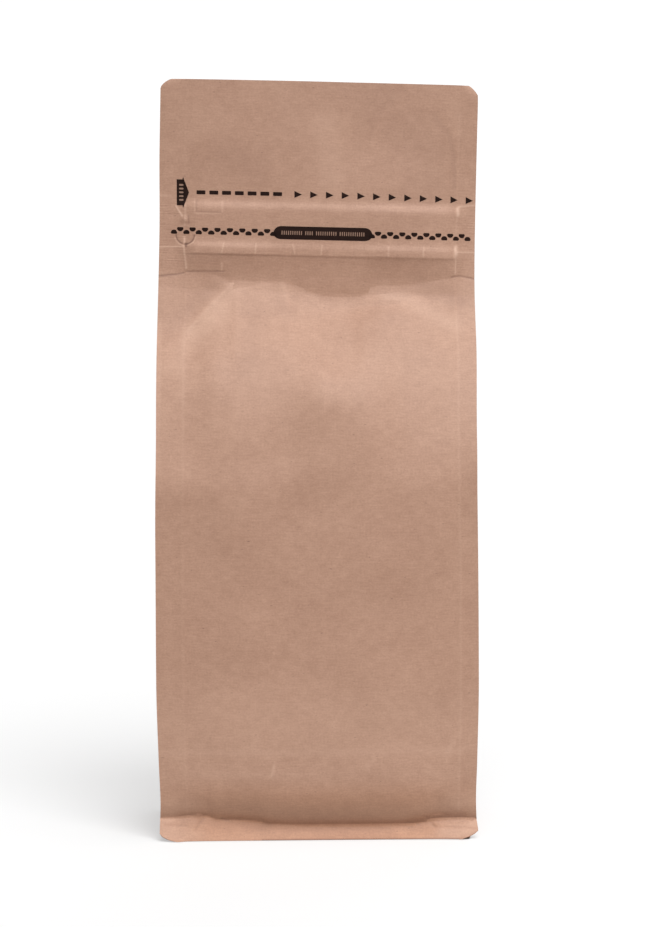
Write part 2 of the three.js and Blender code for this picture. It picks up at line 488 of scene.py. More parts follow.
    def even_height(self, across: Array, height: Array) -> Array:
        """The height whose depth a place on the front takes.

        The front's fold and pinch aren't level, so its profiles are stretched between those lines.

        Args:
            across: Distance from the middle, shape (N,).
            height: Height on the web, shape (N,).

        Returns:
            Heights on the profiles, shape (N,).
        """
        level = np.ones_like(across)
        lines = (
            (self.skirt_lift * level, self.skirt_lift),
            (self.foot_line(across), self.crease_height),
            (32 * level, 32),
            (150 * level, 150),
            (190 * level, 190),
            (self.pinch_line(across), self.pinch_height),
            (256 * level, 256),
            (self.standing_height * level, self.standing_height),
        )
        knots = np.stack([line for line, _ in lines])
        return monotone(knots, np.array([[value] for _, value in lines]), height)

    def depth(self, across: Array, height: Array, side: Side) -> Array:
        """Depth of a web's smooth outer face from the middle plane between the webs.

        Args:
            across: Distance from the middle on the web.
            height: Height on the web.
            side: Which web.

        Returns:
            Depths, in the shape of the places.
        """
        u, z = (a.ravel().astype(float) for a in np.broadcast_arrays(across, height))
        if side is Side.FRONT:
            level = self.even_height(u, z)
            centre = self.front_centre(level)
        else:
            level = z
            centre = self.back_centre(level)
        root = self.roots(u)
        share = np.minimum(np.abs(u) / root, 1)
        crown = self.wall_crown + (self.pressed_crown - self.wall_crown) * smooth_step(z, 225, 250)
        seal = self.seal_line(level)
        wall = centre + (seal - centre) * share**crown
        out = np.clip((np.abs(u) - root) / (self.half_width - root), 0, 1)
        wall = wall + (self.free_edge(level) - seal) * out
        if side is Side.FRONT:
            wall = wall + (self.shoulder.depth(u, z) - wall) * self.shoulder.share(level)
        folded = np.where(level < self.crease_height, self.skirt(u, level), wall)
        return folded.reshape(np.broadcast(across, height).shape)

    def middle(self, across: Array, height: Array) -> Array:
        """The middle plane between the webs: flat below, curling back at the pressed top.

        Args:
            across: Distance from the middle on the web.
            height: Height on the web.

        Returns:
            Its Y at each place, before the pouch settles.
        """
        curl = np.where(across < 0, self.left_curl, self.right_curl)
        bend = np.abs(across / self.half_width) ** 2.5 * smooth_step(height, 190, 300)
        nod = self.flap_nod * np.maximum(height - self.pinch_height, 0)
        return curl * bend + self.flap_wave(across) * smooth_step(height, 280, 306) - nod

    def settle(self, x: Array, y: Array, z: Array) -> Array:
        """Places on the pouch after its body has swayed and its pressed top has leant over.

        Args:
            x: Distance to the right.
            y: Distance to the back.
            z: Height.

        Returns:
            Positions, with a last axis of three.
        """
        slope = math.tan(self.lean) * smooth_step(z, 165, 235)
        skew = self.mouth_skew * smooth_step(z, 290, self.standing_height) - slope
        moved = (x + self.body_sway(z) + slope * (z - self.lean_from), y, z + skew * x)
        return np.stack(np.broadcast_arrays(*moved), axis=-1)

    def place(self, across: Array, height: Array, side: Side, depth: Array, sharper: float = 0) -> Array:
        """Positions for places on a web at a given depth.

        Args:
            across: Distance from the middle on the web.
            height: Height on the web.
            side: Which web.
            depth: Distance from the middle plane.
            sharper: How much smaller this sheet's cut foot corners are.

        Returns:
            Positions, with a last axis of three.
        """
        root = self.roots(across)
        out = np.clip((np.abs(across) - root) / (self.half_width - root), 0, 1)
        drawn = self.back_draw(height) if side is Side.BACK else 0
        span = (self.half_span(height) - drawn) / self.half_width
        x = across * span - np.sign(across) * out * self.cut(across, height, sharper)
        return self.settle(x, self.middle(across, height) + side.value * depth, height)


@dataclass(frozen=True)
class FrontRelief:
    """Everything that lies on the front web's smooth form.

    Attributes:
        form: The pouch's form.
        over_tape: The step where the web drapes over the zipper tape inside, against height.
        over_track: The same over the zipper's thicker track.
        below_tape: How both run out below the tape, against height.
        tape_rise: How far the tape lifts the web, against the distance across.
        track_rise: How far the track lifts it further, against the distance across.
        pillows: Soft swellings and dents.
        creases: Lines pressed, scored and folded into the web, and wide patches of painted shade and painted
            highlight.
        slack: The unevenness of the filled wall.
    """

    form: PouchForm
    over_tape: Profile = Profile(
        (272.8, 1), (274.2, 0.93), (275.4, 0.72), (277.4, 0.17), (278.8, 0.03), (280.4, 0),
    )
    over_track: Profile = Profile(
        (256.1, 1), (257.1, 0.93), (258.3, 0.6), (259.5, 0.22), (261, 0.04), (262, 0),
    )
    below_tape: Profile = Profile((238, 0), (246, 0.36), (253.4, 0.86), (254.3, 1))
    tape_rise: Profile = Profile((-60, 1.2), (-40, 1.4), (-10, 1.15), (12, 1.2), (33, 1.8), (60, 1.7))
    track_rise: Profile = Profile((-60, 0.8), (-40, 1.3), (-12, 0.6), (12, 0.5), (32, 1.0), (60, 0.85))
    pillows: tuple[Pillow, ...] = (
        Pillow((13.7, 237), (4.0, 2.6), -0.25),
        Pillow((-58.8, 268.9), (1.5, 1.5), 0.5),
        Pillow((-53.5, 10.8), (2.4, 1.1), 0.35),
        Pillow((-44, 9.6), (2.5, 0.9), 0.3),
        Pillow((53, 10), (3.0, 1.2), 0.3),
    )
    creases: tuple[Crease, ...] = ()
    slack: Slack = Slack(seed=7)

    def zipper(self, across: Array, height: Array) -> Array:
        """How far the zipper inside lifts the web at each place.

        Args:
            across: Distance from the middle on the web.
            height: Height on the web.

        Returns:
            Distances, in the shape of the places.
        """
        steps = self.over_tape(height) * self.tape_rise(across)
        steps = steps + self.over_track(height) * self.track_rise(across)
        inner = self.form.roots(across) - np.abs(across)
        return steps * self.below_tape(height) * smooth_step(inner, -6, 5)

    def lift(self, across: Array, height: Array) -> Array:
        """How far the relief stands out from the smooth form at each place.

        Args:
            across: Distance from the middle on the web.
            height: Height on the web.

        Returns:
            Distances, in the shape of the places.
        """
        total = self.zipper(across, height)
        for pillow in self.pillows:
            total = total + pillow.swell(across, height)
        for crease in self.creases:
            if crease.rise:
                total = total + crease.rise * crease.strength(across, height)
        return total + self.slack.sway(across, height) * self.form.free(across, height)

    def wear_and_shade(self, across: Array, height: Array) -> Array:
        """How far each place is paler (positive) or darker (negative): worn creases and dark lines, and on
        wide patches painted highlight and painted shade.

        Args:
            across: Distance from the middle on the web.
            height: Height on the web.

        Returns:
            Paleness or darkness from -0.9 to 0.8, in the shape of the places.
        """
        total = np.zeros(np.broadcast(across, height).shape)
        for crease in self.creases:
            total = total + crease.wear_and_shade * crease.strength(across, height)
        return np.clip(total, -0.9, 0.8)

    def surface(self, across: Array, height: Array, inward: float = 0.0, sharper: float = 0.0) -> Array:
        """Positions on the front web's outer face.

        Args:
            across: Distance from the middle on the web.
            height: Height on the web.
            inward: Distance towards the middle plane; negative is outwards.
            sharper: How much smaller the cut foot corners are.

        Returns:
            Positions, with a last axis of three.
        """
        least = 0.4 + 0.35 * smooth_step(height, 331, 300)
        depth = self.form.depth(across, height, Side.FRONT) + self.lift(across, height)
        depth = np.maximum(depth, least) - inward
        return self.form.place(across, height, Side.FRONT, depth, sharper)


def arc(centre: Point2, radius: float, start: float, end: float, steps: int = 14) -> tuple[Point2, ...]:
    """Points on a circle's arc, from one angle in degrees to another."""
    turns = np.radians(np.linspace(start, end, steps))
    return tuple((centre[0] + radius * math.cos(t), centre[1] + radius * math.sin(t)) for t in turns)


def front_creases(form: PouchForm) -> tuple[Crease, ...]:
    """The lines pressed, scored and folded into the front web, and the patches of painted shade and painted
    highlight laid on it.

    Args:
        form: The pouch's form.

    Returns:
        Every crease, from the seals to the finest score, with the painted patches.
    """
    left, right = -form.root_of(Hand.LEFT), form.root_of(Hand.RIGHT)
    seal_roots = (
        Crease(((left - 0.1, 275.3), (left - 0.5, 266.5)), 0.28, 0.08, 0.25),
        Crease(((left - 0.8, 258.4), (left - 0.6, 255.5), (left + 0.6, 247.5)), 0.24, 0.1, 0.45),
        Crease(((right - 0.5, 276.4), (right - 0.8, 258)), 0.26, 0.06, 0.12),
        Crease(((right - 0.7, 258), (right - 0.8, 248)), 0.24, 0.08, 0.3),
        Crease(((right - 0.7, 259.2), (right - 0.4, 256.2)), 0.6, 0.2, 0.4),
        Crease(((right, 276.2), (right + 0.1, 273.6)), 0.5, 0.15, 0.5),
        Crease(((left + 0.6, 247.5), (left, 200), (left, 12)), 0.4, 0.05, 0.04),
        Crease(((right - 0.8, 248), (right, 200), (right, 12)), 0.4, 0.05, 0.08),
    )
    across_seals = (
        # The first is the painted shadow under the zipper's lower ridge, laid over a slight groove.
        Crease(((left + 2, 253.8), (20, 253.4)), 0.26, -0.06, -0.16),
        Crease(((right + 0.3, 277.3), (69.7, 278.2)), 0.3, 0.05, 0.35),
        Crease(((right, 257.2), (70, 257.2)), 0.22, 0.05, 0.35),
        Crease(((-69.6, 256.6), (left, 257.0)), 0.22, 0.05, 0.4),
        Crease(((-69.8, 279.2), (-65, 279.2)), 0.3, 0.03, 0.14),
    )
    tick_places = ((-41.75, -42.6), (-27.6, -27.8), (-11.4, -10.4), (1.6, 1.2), (31.0, 30.9),
                   (46.6, 46.5), (60.7, 60.5))
    ticks = tuple(
        Crease(((top, 258.8), (foot, 254.8)), 0.24, 0.1, 0.25) for top, foot in tick_places
    )
    pinch_folds = (
        # The pinch folds are slight grooves darkened by painted shade; the upright one is a pale crease.
        Crease(((-69.8, 243.9), (-62, 244.7), (-58.9, 245.4)), 0.25, -0.16, -0.6),
        Crease(((-58, 245.9), (-55, 246.1), (-41.5, 246.4)), 0.22, -0.12, -0.42),
        Crease(((-42.4, 246.8), (-42.4, 250.0)), 0.26, 0.08, 0.3),
        Crease(((59.4, 246.0), (63.3, 246.7), (66, 246.2), (69.9, 245.4)), 0.22, -0.16, -0.5),
    )
    press_lines = tuple(
        Crease(((-56.4, level), (-43.5, level)), 0.2, 0.0, -0.07) for level in (248.4, 249.7, 251.0, 252.4)
    )
    tear_start = (
        Crease(((-62.8, 274.75), (-60.1, 270.4)), 0.26, 0.1, 0.6),
        Crease(((-53.9, 276.8), (-53.8, 272.6), (-43.2, 272.4)), 0.24, -0.05, -0.3),
        Crease(((-54.6, 277.8), (-54.5, 271.8), (-43, 271.7)), 0.28, 0.03, 0.16),
        Crease(((-42.6, 277.0), (-42.5, 272.8)), 0.24, 0.05, 0.22),
        Crease(((-57.4, 270.4), (-57.2, 267.4)), 0.3, -0.12, -0.35),
        Crease(arc((-58.65, 262.1), 4.55, 195, 350), 0.24, 0.06, 0.45),
        Crease(arc((-58.65, 262.1), 4.05, 180, 360), 0.25, -0.12, -0.9),
        Crease(arc((-58.65, 262.1), 4.2, 0, 180), 0.24, 0.04, 0.2),
        Crease(((-59, 261), (-58.9, 258.6)), 0.32, 0.05, 0.5),
        Crease(((-58.3, 258.0), (-58.4, 257.2)), 0.4, -0.1, -1.0),
    )
    foot_folds_and_shade = (
        Crease(((-69, 39.5), (-20, 39.0), (30, 39.6), (69, 38.8)), 0.5, 0.07, 0.07),
        Crease(((-55, 30.5), (-32, 29.8), (-6, 30.6)), 0.5, 0.06, 0.05),
        Crease(((-20.6, 30.2), (-19.2, 35.2)), 0.45, 0.1, 0.2),
        Crease(((21, 33), (24, 36)), 0.6, 0.1, 0.1),
        Crease(((56, 37), (59, 42)), 0.8, 0.1, 0.1),
        # Small grooves in the fold of the foot and its puckers, darkened by painted shade in the folds.
        Crease(((49.5, 5.2), (60, 4.7), (69, 4.7)), 0.35, -0.12, -0.12),
        Crease(((-50.8, 10.0), (-54.4, 4.6)), 0.5, -0.2, -0.16),
        Crease(((-57.5, 11.2), (-53, 11.8), (-50, 11)), 0.4, -0.12, -0.14),
        Crease(((-43, 9.3), (-39.2, 8.6)), 0.4, -0.15, -0.25),
        Crease(((-68, 7.0), (-58, 6.4)), 0.4, -0.08, -0.12),
        # A dark line along the skirt's lower edge, in colour alone: painted shadow where the skirt meets the
        # table, and the film's dark edge.
        Crease(((-64, 0.2), (-25, 0.2)), 0.22, 0.0, -0.25),
        Crease(((-25, 0.2), (64, 0.2)), 0.26, 0.0, -0.8),
        # Wide patches with no relief, all painted light and shade: shade along the fold of the foot and on
        # the middle of the skirt, highlight above the fold and at the skirt's ends, and a band of bounce
        # light low on the wall.
        Crease(((-22, 6.0), (-8, 5.4), (20, 5.2), (32, 5.4), (40, 6.0)), 1.3, 0.0, -0.14),
        Crease(((-60, 9.2), (-46, 8.4), (-36, 7.8), (-25, 6.4)), 2.4, 0.0, -0.25),
        Crease(((42, 6.2), (50, 8.0), (64, 8.6)), 2.2, 0.0, -0.27),
        Crease(((-66, 14.5), (-44, 13), (0, 10.5), (45, 11), (66, 14.5)), 4.0, 0.0, 0.17),
        Crease(((-24, 3.5), (30, 3.5)), 3.0, 0.0, -0.11),
        Crease(((55, 4.5), (67, 5)), 3.0, 0.0, 0.17),
        Crease(((-67, 5), (-52, 4.5)), 3.0, 0.0, 0.08),
        Crease(((-60, 50), (60, 50)), 13, 0.0, 0.08),
        # Two more pucker grooves, darkened by painted shade.
        Crease(((47.5, 9.2), (51, 4.9)), 0.5, -0.18, -0.1),
        Crease(((49.5, 10.6), (54, 11.2), (57, 10.2)), 0.4, -0.12, -0.1),
    )
    shoulder_folds_and_shade = (
        Crease(((-57, 220), (-47, 231.5), (-37, 241.4)), 0.6, 0.2, 0.10),
        # Wide patches with no relief beside the diagonal fold: painted highlight below and right of it,
        # painted shade above and left of it.
        Crease(((-53, 220), (-45, 229.5), (-35.5, 239.5)), 2.6, 0.0, 0.10),
        Crease(((-62, 222), (-52, 233.5), (-42, 243)), 2.8, 0.0, -0.08),
        Crease(((-15.5, 241), (-13, 233)), 1.0, 0.15, 0.10),
        # The rest are wide patches on the shoulder: painted shade where they darken and painted highlight
        # where they lighten, the second over a slight swelling.
        Crease(((-16, 233), (-12, 230)), 2.8, 0.0, -0.11),
        Crease(((30, 238.3), (40, 235.2), (60, 225.5)), 2.8, 0.1, 0.13),
        Crease(((8, 222), (44, 214)), 5.0, 0.0, -0.05),
        Crease(((-28, 227), (-31, 206)), 4.5, 0.0, -0.10),
        Crease(((-53, 219), (-42, 228)), 4.0, 0.0, 0.10),
        Crease(((-64, 205), (-57, 214)), 3.0, 0.0, 0.06),
        Crease(((46, 242), (53, 239), (62, 236)), 3.4, 0.0, -0.12),
        Crease(((26, 230), (38, 227)), 3.0, 0.0, -0.07),
        Crease(((left, 222), (left, 190)), 1.2, 0.0, 0.06),
    )
    flap_folds_and_shade = (
        # Wide patches with no relief: painted shade and painted highlight across the pressed top.
        Crease(((30, 316), (52, 300), (50, 290)), 9, 0.0, -0.08),
        Crease(((8, 327), (30, 327)), 5, 0.0, -0.05),
        Crease(((2, 312), (4, 288)), 5, 0.0, 0.10),
        Crease(((60, 320), (64, 300)), 4, 0.0, 0.05),
        Crease(((-16, 328), (-15, 312)), 5, 0.0, 0.05),
        Crease(((-40, 298), (-28, 292)), 6, 0.0, -0.10),
        Crease(((-60, 305), (-52, 315)), 6, 0.0, 0.04),
        # Fine folds of the pressed top; the dark one along a groove is painted shade in the fold.
        Crease(((23.5, 304), (25, 312), (30, 319), (36, 322)), 1.1, 0.06, 0.07),
        Crease(((50, 317), (57.4, 309), (59.8, 299), (60.2, 286)), 0.9, -0.08, -0.12),
        Crease(((61.8, 318), (61.4, 284)), 0.45, 0.05, 0.07),
        Crease(((left, 328), (left, 284)), 0.6, 0.03, 0.03),
    )
    return (
        *seal_roots, *across_seals, *ticks, *pinch_folds, *press_lines, *tear_start, *foot_folds_and_shade,
        *shoulder_folds_and_shade, *flap_folds_and_shade,
    )


# ---- Meshes ---------------------------------------------------------------------------------------
@dataclass
class Shell:
    """A closed mesh in the making: its corners, faces and what each corner and face carries.

    Attributes:
        points: Corner positions in millimetres.
        faces: Corner numbers of each face.
        web: Web coordinates of each corner, for the grain of the paper.
        wear_and_shade: How pale or dark each corner is, from worn creases, dark lines, painted shade and
            painted highlight.
        finish: Material number of each face.
    """

    points: list = field(default_factory=list)
    faces: list = field(default_factory=list)
    web: list = field(default_factory=list)
    wear_and_shade: list = field(default_factory=list)
    finish: list = field(default_factory=list)

    def add(self, points: Array, web: Array, wear_and_shade: Array | float = 0.0) -> Array:
        """Adds corners.

        Args:
            points: Positions, with a last axis of three.
            web: Web coordinates across and up, with a last axis of two.
            wear_and_shade: How pale or dark each corner is, painted shade and highlight included, or one
                value.

        Returns:
            The new corners' numbers, in the shape of the points without their last axis.
        """
        first, shape = len(self.points), points.shape[:-1]
        self.points.extend(points.reshape(-1, 3).tolist())
        self.web.extend(np.broadcast_to(web, (*shape, 2)).reshape(-1, 2).tolist())
        self.wear_and_shade.extend(np.broadcast_to(wear_and_shade, shape).ravel().tolist())
        return np.arange(first, len(self.points)).reshape(shape)

    def cover(self, faces: Iterable[Sequence[int]], finish: int = 0) -> None:
        """Adds faces with one material number.

        Args:
            faces: Corner numbers of each face.
            finish: Their material number.
        """
        made = list(faces)
        self.faces.extend(made)
        self.finish.extend([finish] * len(made))

    def to_object(self, name: str, finishes: Sequence[bpy.types.Material]) -> bpy.types.Object:
        """Makes the Blender object.

        Args:
            name: The piece's name.
            finishes: Its materials, in the order of the faces' material numbers.

        Returns:
            The object, linked to the scene, with smooth faces and sharp rims.
        """
        mesh = bpy.data.meshes.new(name)
        mesh.from_pydata((np.array(self.points) * MM).tolist(), [], self.faces)
        web = np.zeros((len(self.points), 3))
        web[:, :2] = np.array(self.web) * MM
        mesh.attributes.new("web", "FLOAT_VECTOR", "POINT").data.foreach_set("vector", web.ravel())
        mesh.attributes.new("wear_and_shade", "FLOAT", "POINT").data.foreach_set("value", self.wear_and_shade)
        for material in finishes:
            mesh.materials.append(material)
        mesh.polygons.foreach_set("material_index", self.finish)
        mesh.shade_smooth()
        mesh.set_sharp_from_angle(angle=math.radians(48))
        mesh.validate()
        piece = bpy.data.objects.new(name, mesh)
        bpy.context.collection.objects.link(piece)
        return piece


def quads(numbers: Array, flip: bool) -> list[tuple[int, ...]]:
    """Faces between neighbouring corners of a grid, facing the viewer of its rows and columns.

    Args:
        numbers: Corner numbers, shape (rows, columns).
        flip: Whether they face the other way.

    Returns:
        Four corner numbers for each face.
    """
    a, b = numbers[:-1, :-1], numbers[:-1, 1:]
    c, d = numbers[1:, 1:], numbers[1:, :-1]
    order = (d, c, b, a) if flip else (a, b, c, d)
    return list(zip(*(corner.ravel().tolist() for corner in order)))


def rim(numbers: Array) -> list[int]:
    """The corners round a grid's outside, in order.

    Args:
        numbers: Corner numbers, shape (rows, columns).

    Returns:
        Corner numbers, each once.
    """
    return [
        *numbers[0, :-1].tolist(), *numbers[:-1, -1].tolist(),
        *numbers[-1, :0:-1].tolist(), *numbers[:0:-1, 0].tolist(),
    ]


def thick_sheet(
    shell: Shell, outer: Array, inner: Array, web: Array, wear_and_shade: Array, flip: bool, coarse: int = 1
) -> None:
    """Adds a closed sheet between two grids of the same shape.

    The unseen inner face keeps only every few corners, except round its rim.

    Args:
        shell: The mesh to add to.
        outer: Positions of the seen face, shape (rows, columns, 3).
        inner: Positions of the other face, in the same shape.
        web: Web coordinates, shape (rows, columns, 2).
        wear_and_shade: How pale or dark each corner is, painted shade and highlight included, shape (rows,
            columns).
        flip: Whether the seen face looks away from the viewer of its rows and columns.
        coarse: How many cells of the seen face the inner face takes as one.
    """
    seen = shell.add(outer, web, wear_and_shade)
    shell.cover(quads(seen, flip))
    rows, columns = seen.shape
    row_at = sorted({*range(0, rows, coarse), rows - 1})
    column_at = sorted({*range(0, columns, coarse), columns - 1})
    kept = np.zeros(seen.shape, bool)
    kept[np.ix_(row_at, column_at)] = True
    kept[[0, -1], :] = kept[:, [0, -1]] = True
    hidden = np.full(seen.shape, -1)
    hidden[kept] = shell.add(inner[kept], web[kept])

    def side_run(line: Array) -> list[int]:
        """The kept corners along one side of a coarse cell."""
        return [number for number in line.tolist() if number >= 0]

    for r0, r1 in zip(row_at, row_at[1:]):
        for c0, c1 in zip(column_at, column_at[1:]):
            cell = hidden[r0:r1 + 1, c0:c1 + 1]
            loop = [
                *side_run(cell[0, :-1]), *side_run(cell[:-1, -1]),
                *side_run(cell[-1, :0:-1]), *side_run(cell[:0:-1, 0]),
            ]
            shell.cover([loop if flip else loop[::-1]])
    outside, inside = rim(seen), rim(hidden)
    for i, (a, d) in enumerate(zip(outside, inside)):
        j = (i + 1) % len(outside)
        edge = (a, d, inside[j], outside[j])
        shell.cover([edge[::-1] if flip else edge], finish=1)


def dressed(piece: bpy.types.Object, slot: Slot) -> bpy.types.Object:
    """Puts a piece on the pouch's body, in the place of the plain solid.

    Args:
        piece: The piece.
        slot: The record's material slot of its finish.

    Returns:
        The same piece.
    """
    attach(piece, BODY)
    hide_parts(SOLID)
    log.info("%s: %d faces, %s", piece.name, len(piece.data.polygons), slot.value)
    return piece


@dataclass(frozen=True)
class Finishes:
    """The materials of the pouch."""

    kraft: bpy.types.Material
    rim: bpy.types.Material
    ink: bpy.types.Material
    knockout: bpy.types.Material
    film: bpy.types.Material


@dataclass
class Web:
    """The front or the back web: one thick sheet with side seals, skirt and pressed top."""

    form: PouchForm
    relief: FrontRelief
    side: Side
    thickness: float = 0.3
    column_pitch: float = 0.44
    crease_rows: float = 0.4
    foot_rows: float = 0.8
    wall_rows: float = 3.0
    shoulder_rows: float = 1.0
    band_rows: float = 0.4
    flap_rows: float = 1.8
    coarse: int = 6
    # How much of the zipper's relief shows on the back.
    tape_share: float = 0.3
    slack: Slack = Slack(seed=21)

    def heights(self) -> Array:
        """Heights of the rows, close together where the web bends.

        Returns:
            Heights from the skirt to the mouth.
        """
        top = self.form.standing_height
        low = self.form.skirt_lift
        finer = 1.0 if self.side is Side.FRONT else 1.8
        from_end = np.array([0.04, 0.15, 0.35, 0.65, 1.05, 1.6, 2.3, 3.2, 4.2])
        zones = (
            (low + 4.6, 12, self.crease_rows), (12, 24, self.foot_rows), (24, 196, self.wall_rows),
            (196, 244, self.shoulder_rows), (244, 284, self.band_rows),
            (284, top - 6, self.flap_rows),
        )
        rows = [spread(start, end, pitch * finer) for start, end, pitch in zones]
        near_foot = np.append(from_end[:-2], [2.6, 3.0, 3.4, 3.8, 4.2])
        return np.concatenate([[low], low + near_foot, *rows, top - from_end[::-1], [top]])

    def columns(self) -> Array:
        """Distances across of the columns.

        Returns:
            Distances from the left edge to the right.
        """
        pitch = self.column_pitch if self.side is Side.FRONT else self.column_pitch * 2.5
        half = self.form.half_width
        return np.append(spread(-half, half, pitch), half)

    def face(self, across: Array, height: Array, inward: float) -> Array:
        """Positions on the web at a distance inwards from its outer face.

        Args:
            across: Distance from the middle on the web.
            height: Height on the web.
            inward: Distance into the pouch.

        Returns:
            Positions, with a last axis of three.
        """
        if self.side is Side.FRONT:
            return self.relief.surface(across, height, inward)
        form = self.form
        tape = self.tape_share * self.relief.zipper(across, height)
        sway = self.slack.sway(across, height) * form.free(across, height)
        depth = form.depth(across, height, self.side) + tape + sway
        return form.place(across, height, self.side, depth - inward)

    def build(self, finishes: Finishes) -> bpy.types.Object:
        """Makes the web.

        Args:
            finishes: The pouch's materials.

        Returns:
            The web's object.
        """
        across, height = np.meshgrid(self.columns(), self.heights())
        wear_and_shade = self.relief.wear_and_shade(across, height) if self.side is Side.FRONT else np.zeros(across.shape)
        shell = Shell()
        thick_sheet(
            shell, self.face(across, height, 0), self.face(across, height, self.thickness),
            np.stack([across, height], axis=-1), wear_and_shade, self.side is Side.BACK, self.coarse,
        )
        name = f"web_{self.side.name.lower()}"
        return dressed(shell.to_object(name, [finishes.kraft, finishes.rim]), Slot.KRAFT)


@dataclass
class SideGusset:
    """A side gusset: a layer under each fin, and a wall that folds in under the shoulder."""

    form: PouchForm
    relief: FrontRelief
    hand: Hand
    behind: float = 0.32
    thickness: float = 0.24
    fin_steps: int = 6
    wall_steps: int = 44
    sharper: float = 0.5
    # How far to the side on the paper its grain is taken, away from the other webs' grain.
    grain_from: float = 300.0

    def heights(self) -> Array:
        """Heights of the rows.

        Returns:
            Heights from the skirt to the mouth.
        """
        low, top = self.form.skirt_lift + 0.05, self.form.standing_height
        zones = ((low + 4.5, 20, 0.9), (20, 130, 5), (130, 250, 1.6), (250, top - 6, 5))
        rows = [spread(start, end, pitch) for start, end, pitch in zones]
        from_end = np.array([0.1, 0.4, 1, 2, 3.2])
        return np.concatenate([[low], low + from_end, *rows, top - 0.05 - from_end[::-1], [top - 0.05]])

    def fin(self, out: Array, height: Array, side: Side, inward: float) -> Array:
        """Positions on the layer behind a web's side seal.

        Args:
            out: From 0 at the seal's inner edge to 1 at the free edge.
            height: Height on the web.
            side: The web it lies behind.
            inward: Distance inwards from that web's outer face.

        Returns:
            Positions, with a last axis of three.
        """
        form = self.form
        root = form.root_of(self.hand)
        across = self.hand.value * (root + (form.half_width - root) * out)
        if side is Side.FRONT:
            return self.relief.surface(across, height, inward, self.sharper)
        depth = form.depth(across, height, side) - inward
        return form.place(across, height, side, depth, self.sharper)

    def wall(self, through: Array, height: Array, inward: float) -> Array:
        """Positions on the wall between the webs.

        Args:
            through: From -1 at the front web to 1 at the back.
            height: Height on the gusset.
            inward: Distance into the pouch from the wall's outer face.

        Returns:
            Positions, with a last axis of three.
        """
        form = self.form
        root = form.root_of(self.hand)
        across = self.hand.value * root
        front = form.depth(np.full(height.shape, float(across)), height, Side.FRONT)
        back = form.depth(np.full(height.shape, float(across)), height, Side.BACK)
        crown = form.gusset_crown(height)
        flat = smooth_step(height, 236, 256)
        share = np.abs(through)
        bulge = np.maximum(crown, 0) * (1 - through**2) + np.minimum(crown, 0) * (1 - share)
        skirt = np.clip((form.crease_height - height) / form.crease_height, 0, 1)
        flare = form.skirt_flare * skirt * (1 - share**8)
        reach = root + bulge + flare - inward * (1 - flat)
        depth = np.where(through < 0, front, back) - self.behind - self.thickness * 0.5
        depth = depth - np.minimum(inward, depth) * flat
        spreading = share ** (1 - 0.93 * flat)
        y = np.sign(through) * spreading * depth
        x = self.hand.value * reach * form.half_span(height) / form.half_width
        return form.settle(x, form.middle(x, height) + y, height)

    def build(self, finishes: Finishes) -> bpy.types.Object:
        """Makes the gusset.

        Args:
            finishes: The pouch's materials.

        Returns:
            The gusset's object.
        """
        rows = self.heights()
        out = np.linspace(1, 0.04, self.fin_steps)
        even = np.linspace(-0.985, 0.985, self.wall_steps + 1)
        through = np.sign(even) * np.abs(even) ** 1.2
        faces = []
        for inward in (0.0, self.thickness):
            fin_out, fin_height = np.meshgrid(out, rows)
            front = self.fin(fin_out, fin_height, Side.FRONT, self.behind + inward)
            back = self.fin(fin_out[:, ::-1], fin_height, Side.BACK, self.behind + inward)
            wall = self.wall(*np.meshgrid(through, rows), inward)
            faces.append(np.concatenate([front, wall, back], axis=1))
        # The fins' faces swap: their outer side lies against the web.
        fins = np.r_[0:out.size, faces[0].shape[1] - out.size:faces[0].shape[1]]
        outer, inner = faces
        outer[:, fins], inner[:, fins] = faces[1][:, fins].copy(), faces[0][:, fins].copy()
        steps = np.linalg.norm(np.diff(outer, axis=1), axis=-1)
        along = np.concatenate([np.zeros((rows.size, 1)), np.cumsum(steps, axis=1)], axis=1)
        along -= along[:, along.shape[1] // 2][:, None]
        up = np.broadcast_to(rows[:, None], along.shape)
        web = np.stack([along + self.grain_from * self.hand.value, up], axis=-1)
        centre = np.exp(-((along / 0.6) ** 2)) * 0.3
        shell = Shell()
        thick_sheet(shell, outer, inner, web, centre, self.hand is Hand.LEFT)
        name = f"gusset_{self.hand.name.lower()}"
        return dressed(shell.to_object(name, [finishes.kraft, finishes.rim]), Slot.KRAFT)


